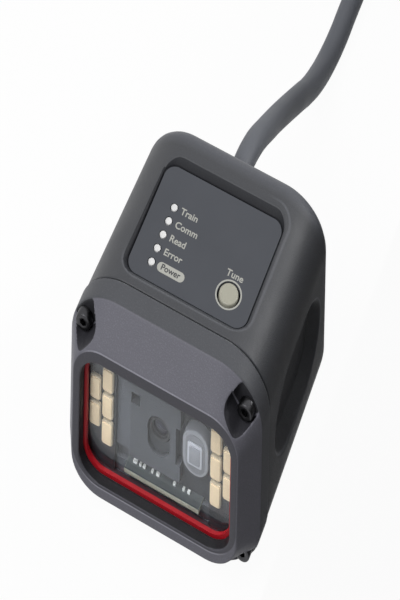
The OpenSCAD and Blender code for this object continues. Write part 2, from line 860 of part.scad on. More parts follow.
module lens_holder() {
    color([0.09, 0.09, 0.1]) difference() {
        slab(carrier_back, sensor_depth) translate([lens_x, mid_z])
            rounded_rect(holder_w, holder_w, 0.8);
        bar(lens_d + 2 * thread_gap, lens_x, mid_z, carrier_back - over, sensor_depth - sensor_t - 0.8);
        slab(sensor_depth - sensor_t - 1, sensor_depth + over) translate([lens_x, mid_z])
            square(sensor_w + 2 * fit_gap, center = true);
    }
}

module image_sensor() {
    color([0.3, 0.25, 0.4]) slab(sensor_depth - sensor_t, sensor_depth) translate([lens_x, mid_z])
        square(sensor_w, center = true);
}

module sensor_board() {
    color([0.1, 0.3, 0.2]) slab(sensor_depth, sensor_depth + board_t) difference() {
        at_mid() rounded_rect(sensor_board_w, sensor_board_h, 1);
        sensor_posts() circle(d = board_screw_d + 2 * fit_gap);
    }
}

module sensor_board_screws() {
    color([0.6, 0.6, 0.62]) rear_screws(
        [-sensor_post_x, sensor_post_x], [mid_z + sensor_post_z],
        sensor_depth + board_t, board_t + sensor_screw_l);
}

// Clear oblong rod with a flange behind the carrier's floor and a raised square on its face
module aimer_lens() {
    face = 0.35;
    color([0.85, 0.88, 0.9, 0.5]) {
        slab(optic_front + face, aimer_back) aimer_outline();
        slab(carrier_back, aimer_back) aimer_outline(aimer_flange);
        slab(optic_front, optic_front + 2 * face) translate([aimer_x, mid_z])
            rounded_rect(aimer_d * 0.5, aimer_h * 0.4, 0.4);
    }
}

module aimer_tube() {
    color([0.09, 0.09, 0.1]) difference() {
        bar(aimer_d + 2 * aimer_flange, aimer_x, mid_z, aimer_back, sensor_depth);
        bar(aimer_d - 2 * aimer_flange, aimer_x, mid_z, aimer_back - over, sensor_depth + over);
    }
}

module aimer_led() {
    color([0.9, 0.85, 0.7]) slab(sensor_depth - 1, sensor_depth) translate([aimer_x, mid_z])
        rounded_rect(2, 2, 0.3);
}

// A shelf board that passes through the carrier frame to the sensor board
module front_board() {
    color([0.55, 0.58, 0.5]) slab(optic_front, sensor_depth) shelf_section();
}

// Small parts on the shelf board, each given by its place as a share of the board and its width
module board_components() {
    chip_h = 0.5;
    chip_back = 2.1;
    places = [
        [-0.4, 1], [-0.33, 0.5], [-0.28, 0.6], [-0.17, 0.5],
        [-0.095, 0.8], [0.126, 0.6], [0.25, 0.5], [0.32, 0.6]
    ];
    color([0.85, 0.85, 0.82]) for (p = places)
        translate([shelf_x + p[0] * shelf_w, front_y + optic_front + chip_back, shelf_z])
            linear_extrude(chip_h) square([p[1], 0.6], center = true);
}

// Main board and lead socket on posts from the back wall

module main_board() {
    color([0.1, 0.3, 0.2]) slab(main_front, main_back) difference() {
        translate([0, main_z + main_h / 2]) rounded_rect(main_w, main_h, 1.5);
        for (sx = [-1, 1], z = main_post_z)
            translate([sx * main_post_x, z]) circle(d = board_screw_d + 2 * fit_gap);
    }
}

module main_board_screws() {
    color([0.6, 0.6, 0.62]) for (sx = [-1, 1], z = main_post_z)
        translate([sx * main_post_x, front_y + main_front, z]) rotate([-90, 0, 0])
            board_screw(board_screw_l);
}

module processor() {
    color([0.08, 0.08, 0.09]) slab(main_front - 1.2, main_front)
        translate([2, main_z + main_h * 0.6]) square(processor_w, center = true);
}

// A socket on the back of the sensor board and one on the front of the main board
module flex_sockets() {
    color([0.85, 0.83, 0.76]) {
        for (from = [sensor_depth + board_t, main_front - flex_socket_l])
            slab(from, from + flex_socket_l) difference() {
                translate([0, flex_z]) square([flex_w + 2 * flex_socket_side, flex_socket_h], center = true);
                translate([0, flex_z]) square([flex_w + fit_gap, flex_t + fit_gap], center = true);
            }
    }
}

module flex_ribbon() {
    color([0.72, 0.5, 0.2]) slab(sensor_depth + board_t, main_front)
        translate([0, flex_z]) square([flex_w, flex_t], center = true);
}

module cable_socket() {
    color([0.85, 0.83, 0.76]) slab(main_back, main_back + socket_l)
        translate([cable_x, cable_z]) rounded_rect(socket_w, socket_h, 0.6);
}

// Rubber strain relief: a flange inside the wall and a tapered sleeve behind it
module cable_gland() {
    inner = back_y - wall - gland_flange_t;
    color([0.13, 0.13, 0.14]) translate([cable_x, 0, cable_z]) rotate([-90, 0, 0]) rotate_extrude()
        polygon([
            [cable_d / 2 + thread_gap, inner], [gland_flange_r, inner],
            [gland_flange_r, inner + gland_flange_t], [gland_r - thread_gap, inner + gland_flange_t],
            [gland_r - thread_gap, back_y], [relief_tip_r, back_y + relief_l],
            [cable_d / 2 + thread_gap, back_y + relief_l]
        ]);
}

// A tube swept along a list of points, its rings square to the path
function unit(v) = v / norm(v);
function run(p, i) = unit(p[min(i + 1, len(p) - 1)] - p[max(i - 1, 0)]);
function ring(p, i, r) = let (
    t = run(p, i),
    u = unit([1, 0, 0] - t[0] * t),
    v = cross(t, u)
) [for (k = [0 : cable_sides - 1])
    let (a = 360 * k / cable_sides) p[i] + r * (cos(a) * u + sin(a) * v)];

module tube(p, r) {
    n = cable_sides;
    last = len(p) - 1;
    sides = [for (i = [0 : last - 1], k = [0 : n - 1])
        [i * n + k, i * n + (k + 1) % n, (i + 1) * n + (k + 1) % n, (i + 1) * n + k]];
    caps = [[for (k = [0 : n - 1]) n - 1 - k], [for (k = [0 : n - 1]) last * n + k]];
    polyhedron([for (i = [0 : last]) each ring(p, i, r)], concat(sides, caps));
}

module cable_lead() { color([0.25, 0.26, 0.28]) tube(lead_points, cable_d / 2); }

module cable_tail() { color([0.25, 0.26, 0.28]) tube(tail_points, cable_d / 2); }

module cable_coil() {
    color([0.25, 0.26, 0.28]) translate([coil_x, coil_y, coil_low]) rotate_extrude($fn = 96)
        translate([coil_r, coil_h / 2]) rounded_rect(coil_w, coil_h, coil_round);
}

// A strap round the far side of the coil
module coil_tie() {
    // The inside of the coil curves away within the strap's width
    sag = coil_in - sqrt(coil_in * coil_in - tie_w * tie_w / 4);
    low = coil_in - sag - tie_gap;
    high = coil_out + tie_gap;
    top = coil_low + coil_h + tie_gap;
    color([0.08, 0.08, 0.09]) translate([coil_x - tie_w / 2, coil_y, 0]) rotate([90, 0, 90])
        linear_extrude(tie_w) difference() {
            translate([low - tie_t, 0]) square([high - low + 2 * tie_t, top + tie_t]);
            translate([low, tie_t]) square([high - low, top - tie_t]);
        }
}

module plug_grip() {
    color([0.12, 0.12, 0.13]) translate([tail_x, plug_y, plug_z]) rotate([90, 0, 0])
        linear_extrude(plug_l) rounded_rect(plug_w, plug_t, plug_r);
}

module plug_shell() {
    color([0.75, 0.76, 0.78]) translate([tail_x, plug_y - plug_l, plug_z]) rotate([90, 0, 0])
        linear_extrude(shell_l) difference() {
            square([shell_w, shell_h], center = true);
            square([shell_w - 2 * shell_t, shell_h - 2 * shell_t], center = true);
        }
}

module plug_tongue() {
    color([0.92, 0.92, 0.9])
        translate([tail_x, plug_y - plug_l, plug_z + shell_h / 2 - shell_t - tongue_gap - tongue_t / 2])
            rotate([90, 0, 0]) linear_extrude(shell_l - 1)
                square([shell_w - 2 * shell_t - 2 * tongue_gap, tongue_t], center = true);
}

front_bezel();
window_glass();
window_seal();
bezel_gasket();
bezel_screws();
housing();
label_plate();
light_pipe();
tune_button();
switch_plunger();
switch_body();
status_board();
status_leds();
status_board_screws();
carrier_frame();
carrier_screws();
lamp_board_left();
lamp_board_right();
lamps();
lens_barrel();
front_lens();
lens_holder();
image_sensor();
sensor_board();
sensor_board_screws();
aimer_lens();
aimer_tube();
aimer_led();
front_board();
board_components();
main_board();
main_board_screws();
processor();
flex_sockets();
flex_ribbon();
cable_socket();
cable_gland();
cable_lead();
cable_coil();
coil_tie();
cable_tail();
plug_grip();
plug_shell();
plug_tongue();
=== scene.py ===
"""Fixed barcode reader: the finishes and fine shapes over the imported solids."""

import math

import bmesh
import bpy
from bpy.props import FloatProperty, FloatVectorProperty, PointerProperty
from bpy.types import Operator, Panel, PropertyGroup
from mathutils import Matrix, Vector


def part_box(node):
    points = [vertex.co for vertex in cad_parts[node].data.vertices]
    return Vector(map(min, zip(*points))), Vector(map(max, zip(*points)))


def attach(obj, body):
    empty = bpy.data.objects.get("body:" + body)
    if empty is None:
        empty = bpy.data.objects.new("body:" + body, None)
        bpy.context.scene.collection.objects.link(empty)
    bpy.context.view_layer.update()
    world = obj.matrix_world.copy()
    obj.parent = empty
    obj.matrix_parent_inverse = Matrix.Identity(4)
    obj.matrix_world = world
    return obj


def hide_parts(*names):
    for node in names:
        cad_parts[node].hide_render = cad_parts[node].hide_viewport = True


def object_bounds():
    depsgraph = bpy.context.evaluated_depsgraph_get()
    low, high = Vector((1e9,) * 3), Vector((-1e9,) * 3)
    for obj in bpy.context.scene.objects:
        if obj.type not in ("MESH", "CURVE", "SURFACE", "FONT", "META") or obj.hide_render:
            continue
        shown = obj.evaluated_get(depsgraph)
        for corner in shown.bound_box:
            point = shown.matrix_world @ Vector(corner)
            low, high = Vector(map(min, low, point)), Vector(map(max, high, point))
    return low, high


bl_info = {
    "name": "Fixed Barcode Reader",
    "version": (1, 0, 0),
    "blender": (4, 5, 0),
    "location": "View3D > Sidebar > Reader",
    "description": "Builds the finished pieces of a fixed barcode reader over its solids",
    "category": "Object",
}

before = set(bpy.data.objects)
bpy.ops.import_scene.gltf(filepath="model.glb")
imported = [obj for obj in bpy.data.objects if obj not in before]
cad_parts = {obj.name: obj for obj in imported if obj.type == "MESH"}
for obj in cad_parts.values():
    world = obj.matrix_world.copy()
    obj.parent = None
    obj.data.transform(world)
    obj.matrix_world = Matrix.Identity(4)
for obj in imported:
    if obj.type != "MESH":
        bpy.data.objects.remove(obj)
CAD_LOW, CAD_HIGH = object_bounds()
MM = 0.001

HOUSING_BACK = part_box("housing")[1].y
LABEL_LOW, LABEL_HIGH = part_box("label_plate")
PIPE_LOW, PIPE_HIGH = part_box("light_pipe")
BUTTON_LOW, BUTTON_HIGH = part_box("tune_button")
BARREL_LOW, BARREL_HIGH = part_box("lens_barrel")
AIMER_LOW, AIMER_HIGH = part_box("aimer_lens")
LAMPS_LOW, LAMPS_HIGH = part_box("lamps")
GLAND_LOW, GLAND_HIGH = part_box("cable_gland")
COIL_LOW, COIL_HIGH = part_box("cable_coil")
TIE_LOW, TIE_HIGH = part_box("coil_tie")
GRIP_LOW, GRIP_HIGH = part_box("plug_grip")
SHELL_LOW, SHELL_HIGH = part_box("plug_shell")


def colour(name, description, default):
    """A colour that a user may change."""
    return FloatVectorProperty(
        name=name, description=description, default=default, size=3, min=0, max=1, subtype="COLOR"
    )


def length(name, description, default):
    """A length that a user may change, in metres."""
    return FloatProperty(
        name=name, description=description, default=default, unit="LENGTH", precision=5
    )


def angle(name, description, degrees):
    """An angle that a user may change."""
    return FloatProperty(
        name=name, description=description, default=math.radians(degrees), subtype="ANGLE"
    )


class ReaderFinish(PropertyGroup):
    """Colours of the reader's paints, mouldings and prints."""

    housing: colour("Housing", "Paint of the cast housing", (0.057, 0.0594, 0.0665))
    bezel: colour("Bezel", "Paint of the front bezel", (0.179, 0.178, 0.209))
    label: colour("Label", "Film of the top label", (0.104, 0.1095, 0.1235))
    words: colour("Words", "Print on the label", (0.49, 0.49, 0.45))
    button: colour("Button", "Moulding of the tune button", (0.45, 0.44, 0.36))
    lights: colour("Lights", "Frosted ends of the light pipe", (0.9, 0.9, 0.9))
    seal: colour("Seal", "Elastomer seal round the window", (0.49, 0.003, 0.013))
    lamps: colour("Lamps", "Resin face of the lamps", (0.86, 0.67, 0.44))
    carrier: colour("Carrier", "Moulding behind the window", (0.084, 0.089, 0.102))
    aimer: colour("Aimer", "Clear moulding of the aimer", (0.28, 0.283, 0.31))
    board: colour("Board", "Solder resist of the boards", (0.025, 0.12, 0.07))
    lead: colour("Lead", "Jacket of the lead", (0.134, 0.142, 0.162))


class ReaderLabel(PropertyGroup):
    """Sizes of the print on the top label."""

    word_height: length("Word Height", "Height of the words", 2.05 * MM)
    print_rise: length("Print Rise", "Thickness of the printed ink", 0.02 * MM)
    ring_width: length("Ring Width", "Width of the printed ring round the button", 0.33 * MM)


class ReaderCasting(PropertyGroup):
    """How round the castings' edges are."""

    housing_edge: length("Housing Edge", "Width of the housing's rounded edges", 0.3 * MM)
    bezel_step: length("Bezel Step", "Size of the bezel's surface cells", 0.25 * MM)


class ReaderLead(PropertyGroup):
    """Sizes of the lead."""

    diameter: length("Diameter", "Diameter of the lead", 5 * MM)
    total: length("Length", "Length of the lead from the body to its plug", 1.5)
    turns: FloatProperty(name="Turns", description="Turns in the coil", default=8.5)


class ReaderStage(PropertyGroup):
    """The camera, the lamps and the floor."""

    azimuth: angle("Azimuth", "Camera's turn round the reader", 23.534)
    elevation: angle("Elevation", "Camera's height above the horizon", 50.377)
    roll: angle("Roll", "Camera's turn about its own line of sight", 1.76)
    stretch: angle("Stretch", "Lean of the camera's upright axis, which draws the picture out", 47.857)
    distance: length("Distance", "Camera's distance", 1.313895)
    lens: FloatProperty(name="Lens", description="Focal length in millimetres", default=333.267)
    room: FloatProperty(name="Room", description="Level of the light from all round", default=0.2)
    key: FloatProperty(name="Key", description="Power of the main lamp", default=5.6, unit="POWER")
    rear: FloatProperty(name="Rear", description="Power of the rear lamp", default=0.6, unit="POWER")
    side: FloatProperty(name="Side", description="Power of the side lamp", default=2.2, unit="POWER")
    white: FloatProperty(name="White", description="Share of plain white in the floor", default=0.96)


# Shaping


def mesh_of(bm, name):
    """A bmesh as a mesh. The bmesh goes."""
    mesh = bpy.data.meshes.new(name)
    bm.to_mesh(mesh)
    bm.free()
    return mesh


def added(bm, other):
    """Joins a second bmesh to the first one."""
    mesh = mesh_of(other, "join")
    bm.from_mesh(mesh)
    bpy.data.meshes.remove(mesh)
    return bm


def moved(bm, matrix):
    """Puts a whole bmesh in its place."""
    bmesh.ops.transform(bm, matrix=matrix, verts=bm.verts)
    return bm


def inked(bm, index):
    """Gives every face of a bmesh one of its piece's materials."""
    for face in bm.faces:
        face.material_index = index
    return bm


def softened(bm, width, segments=2, least=30, clamp=True):
    """Rounds every edge that is sharper than an angle."""
    sharp = [e for e in bm.edges if e.is_manifold and e.calc_face_angle() > math.radians(least)]
    bmesh.ops.bevel(
        bm, geom=sharp, offset=width, offset_type="OFFSET", affect="EDGES", segments=segments,
        profile=0.5, material=-1, clamp_overlap=clamp,
    )
    return bm


def turned(profile, steps=48):
    """A shape turned about Z from (radius, height) points."""
    bm = bmesh.new()
    points = [bm.verts.new((r, 0, z)) for r, z in profile]
    lines = [bm.edges.new(pair) for pair in zip(points, points[1:])]
    bmesh.ops.spin(
        bm,
        geom=points + lines,
        cent=(0, 0, 0),
        axis=(0, 0, 1),
        angle=math.tau,
        steps=steps,
        use_merge=True,
    )
    bmesh.ops.remove_doubles(bm, verts=bm.verts, dist=1e-7)
    bmesh.ops.recalc_face_normals(bm, faces=bm.faces)
    return bm


def sheet(width, depth):
    """A flat oblong face at Z = 0."""
    bm = bmesh.new()
    bmesh.ops.create_grid(bm, x_segments=1, y_segments=1, size=0.5)
    bmesh.ops.scale(bm, vec=(width, depth, 1), verts=bm.verts)
    return bm


def rounded_outline(width, depth, radius, segments):
    """A flat face at Z = 0 with rounded corners."""
    bm = sheet(width, depth)
    bmesh.ops.bevel(
        bm, geom=bm.verts[:], offset=radius, offset_type="OFFSET", affect="VERTICES",
        segments=segments, profile=0.5, material=-1,
    )
    return bm


def raised(bm, height):
    """Pulls the faces of a flat bmesh up into a solid."""
    rise = bmesh.ops.extrude_face_region(bm, geom=bm.faces[:])
    top = [e for e in rise["geom"] if isinstance(e, bmesh.types.BMVert)]
    bmesh.ops.translate(bm, vec=(0, 0, height), verts=top)
    bmesh.ops.recalc_face_normals(bm, faces=bm.faces)
    return bm


def rounded_plate(width, depth, radius, thick, segments=8):
    """A plate standing on Z = 0, with rounded corners."""
    return raised(rounded_outline(width, depth, radius, segments), thick)


def rounded_sleeve(width, depth, radius, wall, long, segments):
    """A sleeve standing on Z = 0, open at both ends."""
    bm = rounded_outline(width, depth, radius, segments)
    middle = bm.faces[:]
    bmesh.ops.inset_region(bm, faces=middle, thickness=wall, use_even_offset=True)
    bmesh.ops.delete(bm, geom=middle, context="FACES")
    return raised(bm, long)


def block(width, depth, height, soft, segments=2):
    """A softened block about the origin."""
    bm = bmesh.new()
    bmesh.ops.create_cube(bm, size=1)
    bmesh.ops.scale(bm, vec=(width, depth, height), verts=bm.verts)
    return softened(bm, soft, segments)


def facing_front(x, y, z):
    """Turns +Z to the reader's front and puts the origin at a point."""
    return Matrix.Translation((x, y, z)) @ Matrix.Rotation(math.radians(90), 4, "X")


def facing_back(x, y, z):
    """Turns +Z to the reader's back and puts the origin at a point."""
    return Matrix.Translation((x, y, z)) @ Matrix.Rotation(math.radians(-90), 4, "X")


def standing_at(x, y, z):
    """Keeps +Z up and puts the origin at a point."""
    return Matrix.Translation((x, y, z))


def placed(name, data):
    """An object for some data, in the scene."""
    made = bpy.data.objects.new(name, data)
    bpy.context.scene.collection.objects.link(made)
    return made


def piece(bm, name, materials, stands_for=(), body="reader", smooth=35):
    """Makes a bmesh a piece that rides on a body."""
    mesh = mesh_of(bm, name)
    mesh.shade_smooth()
    mesh.set_sharp_from_angle(angle=math.radians(smooth))
    for material in materials:
        mesh.materials.append(material)
    made = placed(name, mesh)
    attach(made, body)
    if stands_for:
        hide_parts(*stands_for)
    return made


def dressed(node, material):
    """Gives a solid that keeps its shape a finish."""
    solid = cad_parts[node]
    if not solid.material_slots:
        solid.data.materials.append(material)
    for place in solid.material_slots:
        place.material = material


def merged(node, gap):
    """A copy of a solid's mesh with its loose triangles joined."""
    bm = bmesh.new()
    bm.from_mesh(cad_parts[node].data)
    bmesh.ops.remove_doubles(bm, verts=bm.verts, dist=gap)
    return bm


def settled(helper):
    """A helper object as a bmesh, with its modifiers applied. The helper goes."""
    depsgraph = bpy.context.evaluated_depsgraph_get()
    mesh = bpy.data.meshes.new_from_object(helper.evaluated_get(depsgraph))
    bm = bmesh.new()
    bm.from_mesh(mesh)
    bpy.data.objects.remove(helper)
    bpy.data.meshes.remove(mesh)
    return bm


def cast_form(node, edge):
    """A solid's own form, its sharp edges rounded as on a casting."""
    bm = merged(node, 0.06 * MM)
    bmesh.ops.dissolve_limit(bm, angle_limit=math.radians(1), verts=bm.verts, edges=bm.edges)
    return softened(bm, edge, 2, 28, clamp=False)


def cast_skin(node, step, passes):
    """A solid's own form, covered with even cells and smoothed, so that all its edges soften."""
    mesh = mesh_of(merged(node, 0.002 * MM), "form")
    helper = placed("form", mesh)
    cells = helper.modifiers.new("cells", "REMESH")
    cells.mode = "VOXEL"
    cells.voxel_size = step
    bm = settled(helper)
    bpy.data.meshes.remove(mesh)
    for _ in range(passes):
        bmesh.ops.smooth_vert(
            bm, verts=bm.verts, factor=0.5, use_axis_x=True, use_axis_y=True, use_axis_z=True
        )
    return bm


def lettered(words, height, rise):
    """Words as a thin mesh, from the left and about the middle of their height."""
    text = bpy.data.curves.new("words", "FONT")
    text.body = words
    text.size = height
    text.align_x = "LEFT"
    text.align_y = "CENTER"
    text.extrude = rise / 2
    text.offset = height * 0.018
    bm = settled(placed("words", text))
    bpy.data.curves.remove(text)
    return bm


# Finishes


def linked(tree, start, end):
    """Links an output socket to an input socket."""
    tree.links.new(start, end)


def node_at(tree, kind, **values):
    """A node with its plain values set."""
    node = tree.nodes.new(kind)
    for name, value in values.items():
        setattr(node, name, value)
    return node


def worked(tree, operation, first, second):
    """The result of a sum on two sockets or plain numbers."""
    node = node_at(tree, "ShaderNodeMath", operation=operation)
    for place, value in enumerate((first, second)):
        if isinstance(value, (int, float)):
            node.inputs[place].default_value = value
        else:
            linked(tree, value, node.inputs[place])
    return node.outputs[0]


def between(tree, value, low, high):
    """A mask that climbs from zero at one value to one at another."""
    mask = node_at(tree, "ShaderNodeMapRange")
    mask.inputs["From Min"].default_value = low
    mask.inputs["From Max"].default_value = high
    linked(tree, value, mask.inputs["Value"])
    return mask.outputs["Result"]


def times(tree, first, *others):
    """The product of several masks."""
    for other in others:
        first = worked(tree, "MULTIPLY", first, other)
    return first


def away_from(tree, value, middle):
    """How far a value lies from a middle one."""
    return worked(tree, "ABSOLUTE", worked(tree, "SUBTRACT", value, middle), 0)


def tinted(tree, tone, mask, factor):
    """A colour that is multiplied by a factor where a mask is one."""
    mix = node_at(tree, "ShaderNodeMix", data_type="RGBA", blend_type="MULTIPLY")
    mix.inputs["B"].default_value = (*factor, 1)
    linked(tree, mask, mix.inputs["Factor"])
    linked(tree, tone, mix.inputs["A"])
    return mix.outputs["Result"]


def outline_line(tree, reach, radius, inner, outer):
    """A mask for a line along an outline: where it fades in and is full inside, and outside."""
    starts = between(tree, reach, radius - inner[0] * MM, radius - inner[1] * MM)
    ends = between(tree, reach, radius + outer[0] * MM, radius + outer[1] * MM)
    return times(tree, starts, ends)


def corner_reach(tree, spans, radius):
    """A place's distance from the core of a rounded outline: the radius itself on the outline."""
    squares = []
    for span, half in spans:
        away = worked(tree, "MAXIMUM", worked(tree, "SUBTRACT", span, half - radius), 0)
        squares.append(worked(tree, "POWER", away, 2))
    return worked(tree, "POWER", worked(tree, "ADD", squares[0], squares[1]), 0.5)


def base_of(material):
    """A material's tree and shader, its colour so far and the place as three values."""
    tree = material.node_tree
    shader = tree.nodes["Principled BSDF"]
    tone = shader.inputs["Base Color"].links[0].from_socket
    place = node_at(tree, "ShaderNodeTexCoord")
    split = node_at(tree, "ShaderNodeSeparateXYZ")
    linked(tree, place.outputs["Object"], split.inputs["Vector"])
    return tree, shader, tone, split.outputs


def fine_grain():
    """Group: flecked colour, uneven gloss and a fine height on Object coordinates."""
    group = bpy.data.node_groups.get("fine_grain")
    if group:
        return group
    group = bpy.data.node_groups.new("fine_grain", "ShaderNodeTree")
    ports = group.interface
    for name, kind in (
        ("Colour", "NodeSocketColor"),
        ("Fleck", "NodeSocketColor"),
        ("Fleck Share", "NodeSocketFloat"),
        ("Grain Scale", "NodeSocketFloat"),
        ("Broad Scale", "NodeSocketFloat"),
        ("Roughness Low", "NodeSocketFloat"),
        ("Roughness High", "NodeSocketFloat"),
    ):
        ports.new_socket(name=name, in_out="INPUT", socket_type=kind)
    for name, kind in (
        ("Colour", "NodeSocketColor"),
        ("Roughness", "NodeSocketFloat"),
        ("Height", "NodeSocketFloat"),
    ):
        ports.new_socket(name=name, in_out="OUTPUT", socket_type=kind)
    given = node_at(group, "NodeGroupInput")
    out = node_at(group, "NodeGroupOutput")
    place = node_at(group, "ShaderNodeTexCoord")
    grain = node_at(group, "ShaderNodeTexNoise")
    grain.inputs["Detail"].default_value = 3
    broad = node_at(group, "ShaderNodeTexNoise")
    broad.inputs["Detail"].default_value = 2
    for noise, scale in ((grain, "Grain Scale"), (broad, "Broad Scale")):
        linked(group, place.outputs["Object"], noise.inputs["Vector"])
        linked(group, given.outputs[scale], noise.inputs["Scale"])
    speck = node_at(group, "ShaderNodeMapRange", interpolation_type="SMOOTHSTEP")
    speck.inputs["From Min"].default_value = 0.5
    speck.inputs["From Max"].default_value = 0.72
    linked(group, grain.outputs["Fac"], speck.inputs["Value"])
    share = worked(group, "MULTIPLY", speck.outputs["Result"], given.outputs["Fleck Share"])
    fleck = node_at(group, "ShaderNodeMix", data_type="RGBA")
    linked(group, share, fleck.inputs["Factor"])
    linked(group, given.outputs["Colour"], fleck.inputs["A"])
    linked(group, given.outputs["Fleck"], fleck.inputs["B"])
    tone = node_at(group, "ShaderNodeMapRange")
    tone.inputs["To Min"].default_value = 0.93
    tone.inputs["To Max"].default_value = 1.07
    linked(group, broad.outputs["Fac"], tone.inputs["Value"])
    shade = node_at(group, "ShaderNodeVectorMath", operation="SCALE")
    linked(group, fleck.outputs["Result"], shade.inputs[0])
    linked(group, tone.outputs["Result"], shade.inputs["Scale"])
    both = worked(group, "ADD", grain.outputs["Fac"], broad.outputs["Fac"])
    gloss = node_at(group, "ShaderNodeMapRange")
    gloss.inputs["From Min"].default_value = 0.6
    gloss.inputs["From Max"].default_value = 1.4
    linked(group, both, gloss.inputs["Value"])
    linked(group, given.outputs["Roughness Low"], gloss.inputs["To Min"])
    linked(group, given.outputs["Roughness High"], gloss.inputs["To Max"])
    linked(group, shade.outputs[0], out.inputs["Colour"])
    linked(group, gloss.outputs["Result"], out.inputs["Roughness"])
    linked(group, grain.outputs["Fac"], out.inputs["Height"])
    return group


def grained(
    name, tint, fleck=1.35, share=0.3, grain=0.25, broad=9.0, rough=(0.45, 0.6), bump=0.2, shine=0.5,
    **plain,
):
    """A finish with fine grain: grain and broad are sizes in millimetres."""
    finish = "finish_" + name
    material = bpy.data.materials.get(finish)
    if material:
        return material
    material = bpy.data.materials.new(finish)
    material.use_nodes = True
    tree = material.node_tree
    shader = tree.nodes["Principled BSDF"]
    shader.inputs["Specular IOR Level"].default_value = shine
    for socket, value in plain.items():
        shader.inputs[socket.replace("_", " ").title()].default_value = value
    group = node_at(tree, "ShaderNodeGroup")
    group.node_tree = fine_grain()
    lighter = [min(1.0, c * fleck) for c in tint]
    group.inputs["Colour"].default_value = (*tint, 1)
    group.inputs["Fleck"].default_value = (*lighter, 1)
    group.inputs["Fleck Share"].default_value = share
    group.inputs["Grain Scale"].default_value = 1 / (grain * MM)
    group.inputs["Broad Scale"].default_value = 1 / (broad * MM)
    group.inputs["Roughness Low"].default_value = rough[0]
    group.inputs["Roughness High"].default_value = rough[1]
    height = node_at(tree, "ShaderNodeBump")
    height.inputs["Strength"].default_value = bump
    height.inputs["Distance"].default_value = grain * MM * 0.4
    linked(tree, group.outputs["Colour"], shader.inputs["Base Color"])
    linked(tree, group.outputs["Roughness"], shader.inputs["Roughness"])
    linked(tree, group.outputs["Height"], height.inputs["Height"])
    linked(tree, height.outputs["Normal"], shader.inputs["Normal"])
    return material


def window_finish():
    """Clear window: its shadow is left out so that light falls on what lies behind it."""
    material = grained(
        "window", (0.9, 0.93, 0.95), share=0.1, grain=2.0, broad=20.0, rough=(0.0, 0.03), bump=0.01,
        transmission_weight=1.0,
    )
    tree = material.node_tree
    shader = tree.nodes["Principled BSDF"]
    shader.inputs["IOR"].default_value = 1.3
    out = tree.nodes["Material Output"]
    path = node_at(tree, "ShaderNodeLightPath")
    clear = node_at(tree, "ShaderNodeBsdfTransparent")
    choice = node_at(tree, "ShaderNodeMixShader")
    linked(tree, path.outputs["Is Shadow Ray"], choice.inputs["Fac"])
    linked(tree, shader.outputs["BSDF"], choice.inputs[1])
    linked(tree, clear.outputs["BSDF"], choice.inputs[2])
    linked(tree, choice.outputs["Shader"], out.inputs["Surface"])
    return material


def paint(name, tint, shine):
    """Fine textured paint on a casting."""
    return grained(
        name, tint, fleck=1.45, share=0.5, grain=0.26, rough=(0.4, 0.56), bump=0.4, shine=shine
    )


def moulding(name, tint, **more):
    """Satin moulded plastic."""
    return grained(name, tint, fleck=1.2, share=0.25, grain=0.2, rough=(0.38, 0.52), bump=0.12, **more)


def rubber(name, tint):
    """Matt elastomer."""
    return grained(name, tint, fleck=1.3, share=0.25, grain=0.15, rough=(0.5, 0.68), bump=0.15)


def metal(name, tint, rough=(0.25, 0.4)):
    """Plated or blackened metal."""
    return grained(
        name, tint, fleck=1.15, share=0.3, grain=0.12, rough=rough, bump=0.06, metallic=1.0
    )


# Operators


